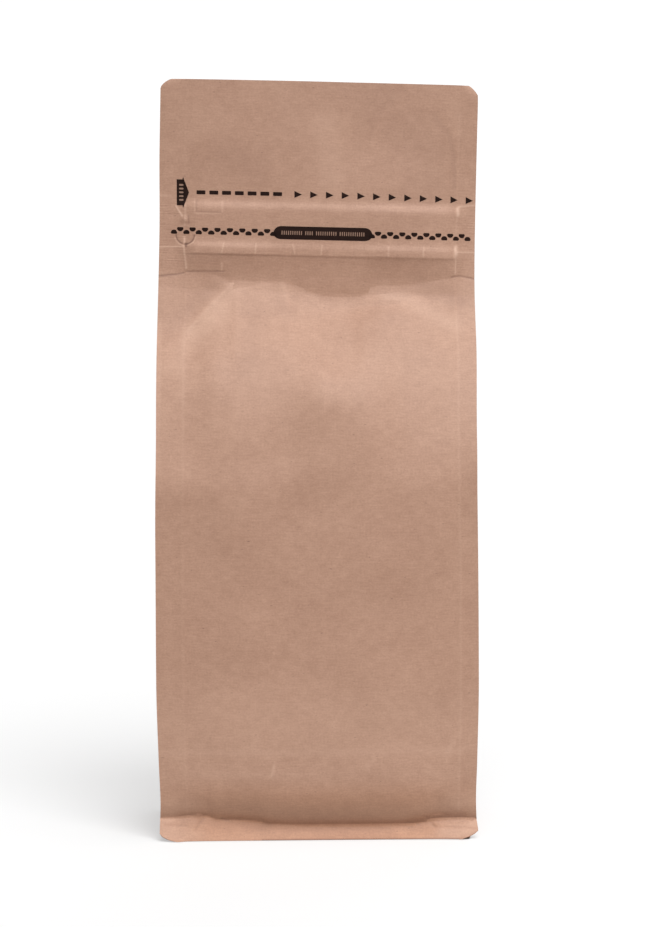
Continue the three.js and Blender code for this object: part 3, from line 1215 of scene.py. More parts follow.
@dataclass
class BaseWeb:
    """The base web: a flat floor that rounds up to the fold and splays out as the skirt's lining."""

    form: PouchForm
    behind: float = 0.62
    thickness: float = 0.25
    lift: float = 0.75
    cell: float = 1.6
    flange_steps: int = 5
    # How far down the paper its grain is taken.
    grain_from: float = -600.0

    def stations(self, half: float) -> tuple[Array, Array]:
        """Grid stations across one direction.

        Args:
            half: Half the size in that direction.

        Returns:
            Share of the half size, and progress down the skirt, at each station.
        """
        inside = np.append(spread(-1, 1, self.cell / half), 1.0)
        down = np.linspace(0, 1, self.flange_steps + 1)[1:]
        share = np.concatenate([-np.ones(down.size), inside, np.ones(down.size)])
        progress = np.concatenate([down[::-1], np.zeros(inside.size), down])
        return share, progress

    def face(self, inward: float) -> tuple[Array, Array]:
        """Places on the base web, skirt and all.

        Args:
            inward: Distance into the pouch.

        Returns:
            Positions and web coordinates.
        """
        form = self.form
        left, right = form.root_of(Hand.LEFT), form.root_of(Hand.RIGHT)
        share_x, down_x = self.stations((left + right) / 2)
        share_y, down_y = self.stations(form.crease_depth)
        a, b = np.meshgrid(share_x, share_y)
        pa, pb = np.meshgrid(down_x, down_y)
        half_x = np.where(a < 0, left, right) - self.behind
        half_y = form.crease_depth - self.behind
        u = a * half_x
        crease = np.where(b < 0, form.foot_line(u), form.crease_height)
        crease = form.crease_height + (crease - form.crease_height) * np.abs(b) ** 3
        edge = np.minimum((1 - np.abs(a)) * half_x, (1 - np.abs(b)) * half_y)
        short = np.clip(1 - edge / form.base_rounding, 0, 1)
        floor = (crease + 0.1) * (1 - np.sqrt(np.clip(1 - short**2, 0, 1)))
        down = np.maximum(pa, pb)
        z = np.where(down > 0, crease + (self.lift - crease) * down, floor)
        skirts = [form.depth(u, z, side) - self.behind for side in Side]
        x = u + np.sign(a) * form.skirt_flare * pa
        y = np.where(pb > 0, np.sign(b) * np.where(b < 0, *skirts), b * half_y)
        rise = inward * np.where(down > 0, 0, 1)
        pull = inward * np.where(down > 0, 1, short**3)
        inset_x = pull * (np.abs(a) > 0.999) * np.sign(a)
        inset_y = pull * (np.abs(b) > 0.999) * np.sign(b)
        web = np.stack([x, y + self.grain_from], axis=-1)
        return form.settle(x - inset_x, y - inset_y, z + rise), web

    def build(self, finishes: Finishes) -> bpy.types.Object:
        """Makes the base web.

        Args:
            finishes: The pouch's materials.

        Returns:
            The base web's object.
        """
        outer, web = self.face(0)
        inner, _ = self.face(self.thickness)
        shell = Shell()
        thick_sheet(shell, outer, inner, web, np.zeros(outer.shape[:2]), True)
        return dressed(shell.to_object("web_base", [finishes.kraft, finishes.rim]), Slot.KRAFT)


@dataclass
class SkirtFilm:
    """The base web's sealing film, which shows as a fine line under the skirt."""

    form: PouchForm
    thickness: float = 0.16
    low: float = 0.08
    high: float = 0.8
    behind: float = 0.4
    corner: float = 2.5
    steps: int = 24

    def loop(self, inward: float) -> Array:
        """Corners round the skirt.

        Args:
            inward: Distance inwards from the skirt's edge.

        Returns:
            Places anticlockwise from above, shape (N, 2).
        """
        form = self.form
        reach_y = form.crease_depth + form.skirt_flare - 0.25 - inward
        reach = {hand: form.root_of(hand) + form.skirt_flare - 0.4 - inward for hand in Hand}
        points = []
        corners = (
            (Hand.RIGHT, -1, -90), (Hand.RIGHT, 1, 0), (Hand.LEFT, 1, 90), (Hand.LEFT, -1, 180),
        )
        for hand, side, start in corners:
            centre = (hand.value * (reach[hand] - self.corner), side * (reach_y - self.corner))
            points.extend(arc(centre, self.corner, start, start + 90, 5))
        ring = np.array(points)[:, None]
        ahead = np.roll(ring, -1, axis=0)
        steps = np.linspace(0, 1, self.steps, endpoint=False)[:, None]
        return (ring + (ahead - ring) * steps).reshape(-1, 2)

    def build(self, finishes: Finishes) -> bpy.types.Object:
        """Makes the film's edge.

        Args:
            finishes: The pouch's materials.

        Returns:
            The film's object.
        """
        form = self.form
        rows = []
        for inward, height in (
            (self.behind, self.low), (self.behind, self.high),
            (self.behind + self.thickness, self.high), (self.behind + self.thickness, self.low),
        ):
            flat = self.loop(inward)
            level = np.full(len(flat), height)
            faces = [form.depth(flat[:, 0], level, side) for side in Side]
            reach = np.where(flat[:, 1] < 0, *faces) / (form.crease_depth + form.skirt_flare)
            rows.append(form.settle(flat[:, 0], flat[:, 1] * reach, level))
        ring = np.stack(rows)
        shell = Shell()
        numbers = shell.add(ring, ring[..., :2])
        for i in range(4):
            for j in range(numbers.shape[1]):
                k, m = (i + 1) % 4, (j + 1) % numbers.shape[1]
                shell.cover([(numbers[i, j], numbers[i, m], numbers[k, m], numbers[k, j])])
        return dressed(shell.to_object("film_skirt", [finishes.film]), Slot.FILM)


# ---- Print ----------------------------------------------------------------------------------------
def inside(outline: Outline, at: Point2) -> bool:
    """Whether a point is inside a closed outline.

    Args:
        outline: Its corners in order.
        at: The point.

    Returns:
        True where it is inside.
    """
    u, z = at
    crossings = 0
    for (u0, z0), (u1, z1) in zip(outline, outline[1:] + outline[:1]):
        if (z0 > z) != (z1 > z) and u < u0 + (z - z0) * (u1 - u0) / (z1 - z0):
            crossings += 1
    return crossings % 2 == 1


def bar(centre: Point2, width: float, height: float, rounding: float) -> Outline:
    """A bar with rounded corners.

    Args:
        centre: Its middle.
        width: Its full width.
        height: Its full height.
        rounding: Radius of its corners.

    Returns:
        Its outline, anticlockwise.
    """
    points: Outline = []
    for side_u, side_z, start in ((1, -1, -90), (1, 1, 0), (-1, 1, 90), (-1, -1, 180)):
        middle = (centre[0] + side_u * (width / 2 - rounding), centre[1] + side_z * (height / 2 - rounding))
        points.extend(arc(middle, rounding, start, start + 90, 4))
    return points


@dataclass
class PrintedPiece:
    """Printed marks as thin closed patches that lie on the front web.

    Attributes:
        name: The piece's name.
        outlines: Closed outlines in web coordinates, anticlockwise.
        proud: How far the ink stands out from the web.
        sunk: How far its unseen face is inside the web.
        pitch: The longest edge of its faces.
    """

    name: str
    outlines: list[Outline]
    proud: float = 0.06
    sunk: float = 0.08
    pitch: float = 0.8

    def stamp(self, shell: Shell, outline: Outline, relief: FrontRelief) -> None:
        """Adds one closed patch, its two faces following the web.

        Args:
            shell: The mesh to add to.
            outline: A closed outline in web coordinates.
            relief: The front web it is printed on.
        """
        edge = divided(outline, self.pitch)
        low_u, low_z = np.min(edge, axis=0)
        high_u, high_z = np.max(edge, axis=0)
        grid = [
            (u, z)
            for u in np.arange(low_u + self.pitch / 2, high_u, self.pitch)
            for z in np.arange(low_z + self.pitch / 2, high_z, self.pitch)
            if inside(edge, (u, z)) and min(math.hypot(u - a, z - b) for a, b in edge) > self.pitch * 0.45
        ]
        count = len(edge)
        rim_edges = [(i, (i + 1) % count) for i in range(count)]
        points = [Vector(p) for p in edge + grid]
        flat, _, triangles, *_ = delaunay_2d_cdt(points, rim_edges, [], 0, 1e-7, False)
        if len(flat) != len(points):
            raise ValueError(f"{self.name}: two of its corners meet")
        kept = [
            t for t in triangles
            if inside(edge, tuple(np.mean([flat[i] for i in t], axis=0)))
        ]
        web = np.array([tuple(p) for p in flat])
        top = shell.add(relief.surface(web[:, 0], web[:, 1], -self.proud), web)
        low = shell.add(relief.surface(web[:, 0], web[:, 1], self.sunk), web)
        shell.cover([tuple(int(top[i]) for i in t) for t in kept])
        shell.cover([tuple(int(low[i]) for i in reversed(t)) for t in kept])
        shell.cover([(int(low[i]), int(low[j]), int(top[j]), int(top[i])) for i, j in rim_edges])

    def build(self, relief: FrontRelief, material: bpy.types.Material, slot: Slot) -> bpy.types.Object:
        """Makes the piece.

        Args:
            relief: The front web it is printed on.
            material: Its finish.
            slot: The record's slot of that finish.

        Returns:
            The piece's object.
        """
        shell = Shell()
        for outline in self.outlines:
            self.stamp(shell, outline, relief)
        return dressed(shell.to_object(self.name, [material]), slot)


@dataclass
class FrontPrint:
    """All that is printed on the front: opening tab, tear line and press-to-close band."""

    relief: FrontRelief
    # The opening tab: an arrow that points along the tear line, with pale grip bars.
    tab_back: float = -62.45
    tab_neck: float = -59.95
    tab_tip: float = -57.05
    tab_height: float = 280.8
    tab_block: float = 11.4
    tab_head: float = 13.7
    # The tear line: dashes, then arrowheads all the way to the right edge.
    tear_height: float = 281.0
    tear_sag: float = 0.0142
    dash_from: float = -53.75
    dash_to: float = -16.25
    dash_count: int = 7
    dash_gap: float = 1.7
    dash_height: float = 1.7
    arrow_first: float = -9.7
    arrow_pitch: float = 6.935
    arrow_count: int = 12
    arrow_length: float = 3.3
    arrow_half: float = 1.5
    # The press-to-close band: two rows of beads that mesh, and a label plate between.
    bead_width: float = 2.95
    bead_height: float = 1.8
    bead_count: int = 9
    lower_row: float = 262.55
    upper_row: float = 265.5
    left_run: Point2 = (-63.6, 5.457)
    right_run: Point2 = (23.57, 5.386)
    chain_sag: float = 0.004
    sag_from: float = 12.0
    plate_left: float = -19.9
    plate_right: float = 23.8
    plate_low: float = 261.2
    plate_high: float = 266.95
    plate_taper: float = 3.4
    plate_nose: float = 0.3
    # The marks on the plate: groups of fine strokes.
    stroke_groups: tuple[int, ...] = (10, 4, 10, 12)
    stroke_pitch: float = 0.95
    stroke_width: float = 0.42
    stroke_height: float = 1.75

    def tab(self) -> list[Outline]:
        """The arrow of the opening tab.

        Returns:
            Its outline alone.
        """
        block, head, mid = self.tab_block / 2, self.tab_head / 2, self.tab_height
        barb = self.tab_neck + 0.3
        return [[
            (self.tab_back, mid - block), (self.tab_neck, mid - block), (barb, mid - head),
            (self.tab_tip, mid), (barb, mid + head), (self.tab_neck, mid + block),
            (self.tab_back, mid + block),
        ]]

    def grips(self) -> list[Outline]:
        """Pale bars on the opening tab.

        Returns:
            Their outlines, from the lowest up.
        """
        return [
            bar((self.tab_back + 2.0, self.tab_height + step), 1.9, 0.75, 0.25)
            for step in (-3.3, -1.65, 0.0, 1.65, 3.3)
        ]

    def dashes(self) -> list[Outline]:
        """The dashes that lead from the tab to the arrowheads.

        Returns:
            Their outlines, from the left.
        """
        pitch = (self.dash_to - self.dash_from + self.dash_gap) / self.dash_count
        width = pitch - self.dash_gap
        return [
            bar((self.dash_from + width / 2 + i * pitch, self.tear_height), width, self.dash_height, 0.3)
            for i in range(self.dash_count)
        ]

    def arrows(self) -> list[Outline]:
        """The arrowheads along the tear line.

        Returns:
            Their outlines, from the left.
        """
        made = []
        for i in range(self.arrow_count):
            middle = self.arrow_first + i * self.arrow_pitch
            back, tip = middle - self.arrow_length / 3, middle + self.arrow_length * 2 / 3
            half = self.arrow_half
            made.append([
                (back, self.tear_height - half), (tip, self.tear_height),
                (back, self.tear_height + half),
            ])
        return made

    def bead(self, middle: float, level: float, up: int) -> Outline:
        """A bead with one flat and one round side.

        Args:
            middle: Its middle across.
            level: Height of its flat side.
            up: 1 with its round side above, -1 below.

        Returns:
            Its outline, anticlockwise.
        """
        half, rounding = self.bead_width / 2, 0.4
        dome = np.radians(np.linspace(12, 168, 13))
        points = [(middle - half + rounding, level), (middle + half - rounding, level)]
        points += [
            (
                middle + half * math.copysign(abs(math.cos(t)) ** 0.9, math.cos(t)),
                level + up * self.bead_height * math.sin(t) ** 0.85,
            )
            for t in dome
        ]
        return points if up > 0 else points[::-1]

    def chain(self) -> list[Outline]:
        """Both rows of beads, left and right of the label plate.

        Returns:
            Their outlines.
        """
        made = []
        for first, pitch in (self.left_run, self.right_run):
            lower = [first + i * pitch for i in range(self.bead_count)]
            made += [self.bead(middle, self.lower_row, 1) for middle in lower]
            made += [self.bead(middle + pitch / 2, self.upper_row, -1) for middle in lower[:-1]]
        return made

    def plate(self) -> list[Outline]:
        """The label plate, tapered at both ends.

        Returns:
            Its outline alone.
        """
        mid, half = (self.plate_low + self.plate_high) / 2, (self.plate_high - self.plate_low) / 2
        turns = np.radians(np.linspace(0, 90, 7))
        points: Outline = []
        for tip, shoulder in ((self.plate_right, self.plate_right - self.plate_taper),
                              (self.plate_left, self.plate_left + self.plate_taper)):
            nose = mid - self.plate_nose
            low = [
                (shoulder + (tip - shoulder) * math.sin(t), nose - (nose - mid + half) * math.cos(t))
                for t in turns
            ]
            high = [
                (shoulder + (tip - shoulder) * math.cos(t), nose + (mid + half - nose) * math.sin(t))
                for t in turns[1:]
            ]
            points += low + high if tip > shoulder else (low + high)[::-1]
        return points

    def plate_marks(self) -> list[Outline]:
        """Groups of fine pale strokes on the label plate.

        Returns:
            Their outlines, from the left.
        """
        mid = (self.plate_low + self.plate_high) / 2
        places = sum(self.stroke_groups) + len(self.stroke_groups) - 1
        at = (self.plate_left + self.plate_right) / 2 - (places - 1) / 2 * self.stroke_pitch
        made = []
        for count in self.stroke_groups:
            for _ in range(count):
                made.append(bar((at, mid), self.stroke_width, self.stroke_height, 0.12))
                at += self.stroke_pitch
            at += self.stroke_pitch
        return made

    def sagging(self, outlines: list[Outline], slope: float) -> list[Outline]:
        """The same outlines, dipping evenly to the right of where the sag begins."""
        return [[(u, z - slope * max(u - self.sag_from, 0)) for u, z in line] for line in outlines]

    def build(self, finishes: Finishes) -> list[bpy.types.Object]:
        """Makes every printed piece.

        Args:
            finishes: The pouch's materials.

        Returns:
            The pieces' objects.
        """
        ink = {
            "print_tab": self.tab(), "print_dashes": self.dashes(),
            "print_arrows": self.sagging(self.arrows(), self.tear_sag),
            "print_chain": self.sagging(self.chain(), self.chain_sag),
            "print_plate": [self.plate()],
        }
        pale = {"tab_grips": self.grips(), "plate_marks": self.plate_marks()}
        made = [
            PrintedPiece(name, outlines).build(self.relief, finishes.ink, Slot.INK)
            for name, outlines in ink.items()
        ]
        return made + [
            PrintedPiece(name, outlines, proud=0.1).build(self.relief, finishes.knockout, Slot.KRAFT)
            for name, outlines in pale.items()
        ]


# ---- Finishes -------------------------------------------------------------------------------------
def from_srgb(red: int, green: int, blue: int) -> tuple[float, float, float, float]:
    """A display colour from 0 to 255 as linear light with full opacity.

    Args:
        red: Red, from 0 to 255.
        green: Green, likewise.
        blue: Blue, likewise.

    Returns:
        Red, green, blue and opacity.
    """
    channels = [c / 255 for c in (red, green, blue)]
    linear = [c / 12.92 if c <= 0.04045 else ((c + 0.055) / 1.055) ** 2.4 for c in channels]
    return (*linear, 1.0)


class Wiring:
    """Adds and joins the nodes of one node tree."""

    def __init__(self, tree: bpy.types.NodeTree) -> None:
        """Starts on an emptied tree."""
        self.tree = tree
        tree.nodes.clear()

    def add(self, kind: str, settings: dict | None = None, **inputs: object) -> bpy.types.Node:
        """Adds a node.

        Args:
            kind: The node's type name without its ShaderNode prefix.
            settings: Values of the node's own properties.
            **inputs: Values or sockets for its inputs, by name with _ for a space, or _0, _1 by place.

        Returns:
            The node.
        """
        name = kind if kind.startswith("Node") else f"ShaderNode{kind}"
        node = self.tree.nodes.new(name)
        for key, value in (settings or {}).items():
            setattr(node, key, value)
        for key, value in inputs.items():
            socket = node.inputs[int(key[1:]) if key[1:].isdigit() else key.replace("_", " ")]
            self.feed(value, socket)
        return node

    def feed(self, value: object, socket: bpy.types.NodeSocket) -> None:
        """Joins a socket to a value or to another node's output.

        Args:
            value: A number, vector or colour, or an output socket.
            socket: The input that takes it.
        """
        if isinstance(value, bpy.types.NodeSocket):
            self.tree.links.new(value, socket)
        else:
            socket.default_value = value

    def math(self, operation: str, *values: object) -> bpy.types.NodeSocket:
        """Adds a Math node and gives its result."""
        inputs = {f"_{i}": value for i, value in enumerate(values)}
        return self.add("Math", {"operation": operation}, **inputs).outputs[0]

    def ramp(self, value: object, low: float, high: float, to_low: float = 0, to_high: float = 1
             ) -> bpy.types.NodeSocket:
        """Maps a value from one range to another, smoothly and held at the ends.

        Args:
            value: What is mapped.
            low: Where its range starts.
            high: Where its range ends; it may lie below low.
            to_low: The result at the start.
            to_high: The result at the end.

        Returns:
            The result's socket.
        """
        node = self.add("MapRange", {"interpolation_type": "SMOOTHSTEP"}, Value=value)
        for name, number in (("From Min", low), ("From Max", high), ("To Min", to_low), ("To Max", to_high)):
            node.inputs[name].default_value = number
        return node.outputs["Result"]

    def blend(self, share: object, first: object, second: object) -> bpy.types.NodeSocket:
        """Mixes two colours.

        Args:
            share: How much of the second, from 0 to 1.
            first: A colour.
            second: A colour.

        Returns:
            The result's socket.
        """
        node = self.add("Mix", {"data_type": "RGBA"})
        self.feed(share, node.inputs[0])
        self.feed(first, node.inputs[6])
        self.feed(second, node.inputs[7])
        return node.outputs[2]

    def noise(self, vector: object, stretch: Sequence[float], detail: float = 2, roughness: float = 0.5
              ) -> bpy.types.NodeSocket:
        """Noise over a vector, one cell per given length in metres along each direction.

        Args:
            vector: Where to look.
            stretch: Length of a cell each way.
            detail: How many finer layers are added.
            roughness: How strong each finer layer is.

        Returns:
            The noise's socket.
        """
        scale = tuple(1 / length for length in stretch)
        moved = self.add("VectorMath", {"operation": "MULTIPLY"}, _0=vector, _1=scale).outputs[0]
        node = self.add("TexNoise", Vector=moved, Scale=1.0, Detail=detail, Roughness=roughness)
        return node.outputs[0]


def new_material(name: str) -> tuple[bpy.types.Material, Wiring]:
    """Starts a material with an emptied node tree.

    Args:
        name: The material's name.

    Returns:
        The material and its wiring.
    """
    material = bpy.data.materials.new(name)
    material.use_nodes = True
    return material, Wiring(material.node_tree)


def new_group(name: str, inputs: dict[str, object], outputs: dict[str, str]
              ) -> tuple[bpy.types.NodeTree, Wiring, bpy.types.Node, bpy.types.Node]:
    """Starts a shader node group.

    Args:
        name: The group's name.
        inputs: Each input's default, by name: a number or a vector.
        outputs: Each output's socket type, by name.

    Returns:
        The tree, its wiring, and its input and output nodes.
    """
    tree = bpy.data.node_groups.new(name, "ShaderNodeTree")
    for label, default in inputs.items():
        kind = "NodeSocketFloat" if isinstance(default, float) else "NodeSocketVector"
        socket = tree.interface.new_socket(name=label, in_out="INPUT", socket_type=kind)
        socket.default_value = default
    for label, kind in outputs.items():
        tree.interface.new_socket(name=label, in_out="OUTPUT", socket_type=kind)
    wiring = Wiring(tree)
    return tree, wiring, wiring.add("NodeGroupInput"), wiring.add("NodeGroupOutput")


def paper_fibre_group() -> bpy.types.NodeTree:
    """The grain of kraft paper: fibres lying across the web, mottling and a few dark specks.

    Returns:
        A group that takes the place on the web and puts out Tone, Specks and Height.
    """
    outputs = {name: "NodeSocketFloat" for name in ("Tone", "Specks", "Height")}
    tree, w, given, out = new_group("paper fibre", {"Place": (0.0, 0.0, 0.0)}, outputs)
    place = given.outputs["Place"]
    streaks = w.noise(place, (0.0042, 0.0008, 1), detail=3, roughness=0.6)
    threads = w.noise(place, (0.0008, 0.0026, 1), detail=2)
    grain = w.noise(place, (0.0009, 0.0007, 1), detail=2)
    cloud = w.noise(place, (0.024, 0.018, 1), detail=2)
    blot = w.noise(place, (0.0052, 0.0044, 1), detail=2)
    parts = ((streaks, 0.22), (threads, 0.10), (grain, 0.24), (cloud, 0.12), (blot, 0.14))
    total = 0.5
    for value, share in parts:
        centred = w.math("SUBTRACT", value, 0.5)
        total = w.math("MULTIPLY_ADD", centred, share * 2.2, total)
    w.feed(total, out.inputs["Tone"])
    flecks = w.noise(place, (0.0024, 0.0007, 1), detail=1)
    w.feed(w.ramp(flecks, 0.735, 0.79), out.inputs["Specks"])
    height = w.math("MULTIPLY_ADD", streaks, 0.55, w.math("MULTIPLY", grain, 0.45))
    w.feed(height, out.inputs["Height"])
    return tree


def seal_press_group() -> bpy.types.NodeTree:
    """The fine ribs that the sealing bars press into the side seals near the zipper.

    Returns:
        A group that takes the place on the web and puts out the ribs' Height.
    """
    rib_pitch, half_web = 0.00115, 0.0701
    band_foot, band_top = (0.2455, 0.249), (0.281, 0.272)
    inputs = {"Place": (0.0, 0.0, 0.0), "Left Root": 0.0, "Right Root": 0.0}
    tree, w, given, out = new_group("seal press", inputs, {"Ribs": "NodeSocketFloat"})
    split = w.add("SeparateXYZ", Vector=given.outputs["Place"])
    across, height = split.outputs["X"], split.outputs["Y"]
    beyond_right = w.math("GREATER_THAN", across, given.outputs["Right Root"])
    beyond_left = w.math("LESS_THAN", across, given.outputs["Left Root"])
    on_web = w.math("LESS_THAN", w.math("ABSOLUTE", across), half_web)
    seal = w.math("MULTIPLY", w.math("MAXIMUM", beyond_left, beyond_right), on_web)
    band = w.math("MULTIPLY", w.ramp(height, *band_foot), w.ramp(height, *band_top))
    rib = w.math("SINE", w.math("MULTIPLY", height, 2 * math.pi / rib_pitch))
    uneven = w.noise(given.outputs["Place"], (0.006, 0.002, 1))
    strength = w.math("MULTIPLY", w.math("MULTIPLY", seal, band), w.ramp(uneven, 0.4, 0.75))
    w.feed(w.math("MULTIPLY", rib, strength), out.inputs["Ribs"])
    return tree


@dataclass(frozen=True)
class PaperFinish:
    """Uncoated kraft paper, or ink that has sunk into it.

    Attributes:
        name: The material's name.
        deep: Its colour in the grain's dark places.
        pale: Its colour in the grain's light places.
        speck_and_shade: The colour of its dark fibres, and the colour of dark lines and painted shade.
        rubbed_and_lit: Its colour where a crease is worn, and the colour of painted highlight.
        roughness: Mean roughness.
        grain: Height of the grain in metres.
        sheen: Soft glow of the raised fibres at grazing angles.
        specular: Strength of its plain reflection.
        painted_foot_shade: What the colour is multiplied by near the foot: painted shade, warmed as by light
            bounced between the paper walls.
    """

    name: str
    deep: tuple
    pale: tuple
    speck_and_shade: tuple
    rubbed_and_lit: tuple
    roughness: float = 0.7
    grain: float = 0.00005
    sheen: float = 0.34
    specular: float = 0.9
    painted_foot_shade: tuple[float, float, float] = (1.05, 0.935, 0.81)

    def make(self, fibre: bpy.types.NodeTree, press: bpy.types.NodeTree, form: PouchForm
             ) -> bpy.types.Material:
        """Builds the material.

        Args:
            fibre: The paper fibre group.
            press: The seal press group.
            form: The pouch's form, for where the side seals begin.

        Returns:
            The material.
        """
        material, w = new_material(self.name)
        place = w.add("Attribute", {"attribute_name": "web"}).outputs["Vector"]
        wear_and_shade = w.add("Attribute", {"attribute_name": "wear_and_shade"}).outputs["Fac"]
        grain = w.add("Group", {"node_tree": fibre}, Place=place)
        ribs = w.add("Group", {"node_tree": press}, Place=place)
        ribs.inputs["Left Root"].default_value = -form.root_of(Hand.LEFT) * MM
        ribs.inputs["Right Root"].default_value = form.root_of(Hand.RIGHT) * MM
        tone = w.ramp(grain.outputs["Tone"], 0.0, 1.0)
        tone = w.math("MULTIPLY_ADD", ribs.outputs["Ribs"], 0.13, tone)
        colour = w.blend(tone, self.deep, self.pale)
        colour = w.blend(w.math("MULTIPLY", grain.outputs["Specks"], 0.55), colour, self.speck_and_shade)
        # Painted shade near the foot: below about 30 mm on the web, fully from 10 mm down and less towards
        # the side seals, the colour is darkened and warmed, as by shade and light bounced between the paper
        # walls.
        spot = w.add("SeparateXYZ", Vector=place).outputs
        near = w.math("MULTIPLY", w.ramp(spot["Y"], 0.030, 0.010), w.ramp(spot["Y"], -0.002, 0.0))
        middle = w.ramp(w.math("ABSOLUTE", spot["X"]), 0.062, 0.045, 0.45, 1.0)
        near = w.math("MULTIPLY", near, middle)
        foot_shaded = w.add("VectorMath", {"operation": "MULTIPLY"}, _0=colour, _1=self.painted_foot_shade).outputs[0]
        colour = w.blend(near, colour, foot_shaded)
        # Positive values blend towards the pale colour of worn creases and painted highlight, negative ones
        # towards the dark colour of fibres, dark lines and painted shade.
        colour = w.blend(w.math("MAXIMUM", wear_and_shade, 0.0), colour, self.rubbed_and_lit)
        colour = w.blend(w.math("MAXIMUM", w.math("MULTIPLY", wear_and_shade, -1.0), 0.0), colour, self.speck_and_shade)
        height = w.math("MULTIPLY_ADD", ribs.outputs["Ribs"], 0.6, grain.outputs["Height"])
        bump = w.add("Bump", Height=height, Distance=self.grain, Strength=1.0)
        rough = w.math("MULTIPLY_ADD", grain.outputs["Tone"], 0.12, self.roughness - 0.06)
        shader = w.add("BsdfPrincipled", Base_Color=colour, Roughness=rough, Normal=bump.outputs[0])
        shader.inputs["Specular IOR Level"].default_value = self.specular
        shader.inputs["Sheen Weight"].default_value = self.sheen
        shader.inputs["Sheen Roughness"].default_value = 0.5
        out = w.add("OutputMaterial")
        w.feed(shader.outputs[0], out.inputs["Surface"])
        return material


@dataclass(frozen=True)
class FilmFinish:
    """The plastic sealing film's cut edge: pale, with dull grey streaks."""

    name: str = "sealing film"
    pale: tuple = from_srgb(214, 205, 196)
    dull: tuple = from_srgb(92, 78, 70)
    roughness: float = 0.32

    def make(self) -> bpy.types.Material:
        """Builds the material.

        Returns:
            The material.
        """
        material, w = new_material(self.name)
        place = w.add("Attribute", {"attribute_name": "web"}).outputs["Vector"]
        streak = w.noise(place, (0.011, 0.011, 1), detail=3)
        colour = w.blend(w.ramp(streak, 0.4, 0.6), self.pale, self.dull)
        bump = w.add("Bump", Height=streak, Distance=0.0001, Strength=0.6)
        rough = w.math("MULTIPLY_ADD", streak, 0.2, self.roughness - 0.1)
        shader = w.add("BsdfPrincipled", Base_Color=colour, Roughness=rough, Normal=bump.outputs[0])
        out = w.add("OutputMaterial")
        w.feed(shader.outputs[0], out.inputs["Surface"])
        return material


def make_finishes(form: PouchForm) -> Finishes:
    """Makes every material of the pouch.

    Args:
        form: The pouch's form, for where the side seals begin.

    Returns:
        The materials.
    """
    fibre, press = paper_fibre_group(), seal_press_group()
    # The dark fibre colour is also the colour of dark lines and painted shade, the worn colour also that of
    # painted highlight.
    kraft = PaperFinish(
        "kraft paper", deep=from_srgb(151, 110, 87), pale=from_srgb(187, 148, 125),
        speck_and_shade=from_srgb(96, 58, 40), rubbed_and_lit=from_srgb(226, 190, 168),
    )
    cut_edge = PaperFinish(
        "cut edge of kraft", deep=from_srgb(166, 128, 106), pale=from_srgb(216, 190, 172),
        speck_and_shade=from_srgb(96, 58, 40), rubbed_and_lit=from_srgb(226, 190, 168),
    )
    ink = PaperFinish(
        "dark ink on kraft", deep=from_srgb(22, 9, 6), pale=from_srgb(42, 24, 18),
        speck_and_shade=from_srgb(16, 7, 5), rubbed_and_lit=from_srgb(150, 118, 100), roughness=0.6, sheen=0.0,
        specular=0.12,
    )
    knockout = PaperFinish(
        "kraft through ink", deep=from_srgb(120, 92, 78), pale=from_srgb(160, 130, 112),
        speck_and_shade=from_srgb(66, 44, 36), rubbed_and_lit=from_srgb(150, 120, 103), specular=0.3,
    )
    papers = [finish.make(fibre, press, form) for finish in (kraft, cut_edge, ink, knockout)]
    return Finishes(*papers, FilmFinish().make())


# ---- Studio ---------------------------------------------------------------------------------------
@dataclass(frozen=True)
class SoftBox:
    """A wide, far light that falls evenly on the whole table.

    Attributes:
        name: Its name.
        turn: Degrees round to the right of straight in front.
        height: Degrees above the table.
        spread: Degrees across, as the pouch sees it.
        strength: Brightness of a white card that faces it.
    """

    name: str
    turn: float
    height: float
    spread: float
    strength: float

    def build(self) -> None:
        """Hangs the light."""
        data = bpy.data.lights.new(self.name, "SUN")
        data.energy, data.angle = self.strength * math.pi, math.radians(self.spread)
        lamp = bpy.data.objects.new(self.name, data)
        bpy.context.collection.objects.link(lamp)
        lamp.rotation_euler = (math.radians(90 - self.height), 0, math.radians(self.turn))


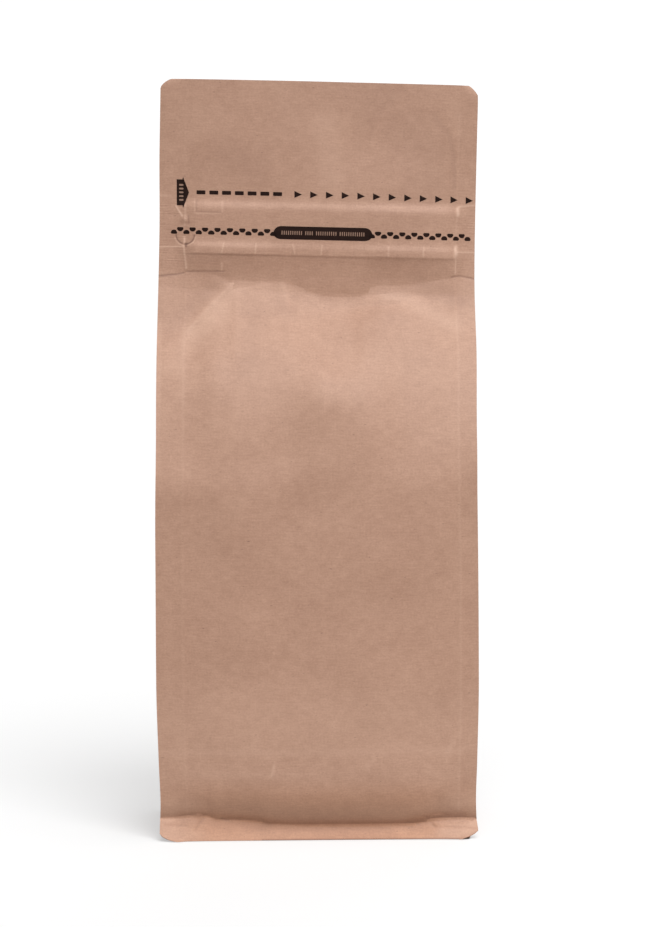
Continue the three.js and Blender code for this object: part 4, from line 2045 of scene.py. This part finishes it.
@dataclass
class Studio:
    """A white table top, soft light from in front and above, and the camera."""

    camera_place: tuple[float, float, float] = (-66.44, -1330.03, 256.78)
    look_down: float = 4.07
    look_right: float = 3.07
    lens: float = 116.5
    floor_size: float = 60000.0
    floor_bounce: tuple[float, float, float, float] = (0.39, 0.34, 0.30, 1.0)
    floor_seen: float = 0.45
    floor_glow: float = 0.435
    ambient: float = 0.30
    key: SoftBox = SoftBox("key softbox", 15, 50, 40, 0.94)
    overhead: SoftBox = SoftBox("overhead softbox", 45, 66, 60, 0.20)
    front: SoftBox = SoftBox("front softbox", -4, 14, 50, 0.08)
    back: SoftBox = SoftBox("back softbox", 165, 18, 50, 0.3)

    def make_camera(self) -> None:
        """Sets the camera at the photograph's viewing angle."""
        data = bpy.data.cameras.new("camera")
        data.lens, data.sensor_width = self.lens, 36
        data.clip_start, data.clip_end = 0.05, 50
        camera = bpy.data.objects.new("camera", data)
        bpy.context.collection.objects.link(camera)
        camera.location = Vector(self.camera_place) * MM
        camera.rotation_euler = (math.radians(90 - self.look_down), 0, math.radians(-self.look_right))
        bpy.context.scene.camera = camera

    def make_floor(self) -> None:
        """Lays the table top, which isn't there when seen from below."""
        half = self.floor_size / 2 * MM
        mesh = bpy.data.meshes.new("floor")
        mesh.from_pydata([(-half, -half, 0), (half, -half, 0), (half, half, 0), (-half, half, 0)], [],
                         [(0, 1, 2, 3)])
        floor = bpy.data.objects.new("floor", mesh)
        bpy.context.collection.objects.link(floor)
        material, w = new_material("table top")
        seen = (self.floor_seen,) * 3 + (1.0,)
        bounce = w.add("Emission", Color=self.floor_bounce, Strength=1.0).outputs[0]
        shaded = w.add("BsdfDiffuse", Color=seen).outputs[0]
        glow = w.add("Emission", Color=(1, 1, 1, 1), Strength=self.floor_glow).outputs[0]
        white = w.add("AddShader", _0=shaded, _1=glow).outputs[0]
        looked_at = w.add("LightPath").outputs["Is Camera Ray"]
        table = w.add("MixShader", _0=looked_at, _1=bounce, _2=white).outputs[0]
        clear = w.add("BsdfTransparent")
        from_below = w.add("NewGeometry").outputs["Backfacing"]
        mixed = w.add("MixShader", _0=from_below, _1=table, _2=clear.outputs[0])
        out = w.add("OutputMaterial")
        w.feed(mixed.outputs[0], out.inputs["Surface"])
        mesh.materials.append(material)

    def make_world(self) -> None:
        """Surrounds the scene with soft light, seen as plain white."""
        world = bpy.data.worlds.new("studio")
        world.use_nodes = True
        w = Wiring(world.node_tree)
        soft = w.add("Background", Color=(1, 1, 1, 1), Strength=self.ambient)
        white = w.add("Background", Color=(1, 1, 1, 1), Strength=1.05)
        seen = w.add("LightPath").outputs["Is Camera Ray"]
        mixed = w.add("MixShader", _0=seen, _1=soft.outputs[0], _2=white.outputs[0])
        out = w.add("OutputWorld")
        w.feed(mixed.outputs[0], out.inputs["Surface"])
        bpy.context.scene.world = world

    def build(self) -> None:
        """Sets up camera, floor, world and lights."""
        self.make_camera()
        self.make_floor()
        self.make_world()
        for light in (self.key, self.overhead, self.front, self.back):
            light.build()
        view = bpy.context.scene.view_settings
        view.view_transform, view.look = "Standard", "None"
        view.exposure, view.gamma = 0.0, 1.0


def main() -> None:
    """Builds the pouch piece by piece, then the studio."""
    logging.basicConfig(level=logging.INFO, format="%(message)s")
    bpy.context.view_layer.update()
    form = PouchForm()
    relief = FrontRelief(form, creases=front_creases(form))
    finishes = make_finishes(form)
    for side in Side:
        Web(form, relief, side).build(finishes)
    for hand in Hand:
        SideGusset(form, relief, hand).build(finishes)
    BaseWeb(form).build(finishes)
    SkirtFilm(form).build(finishes)
    FrontPrint(relief).build(finishes)
    Studio().build()


if __name__ == "__main__":
    main()
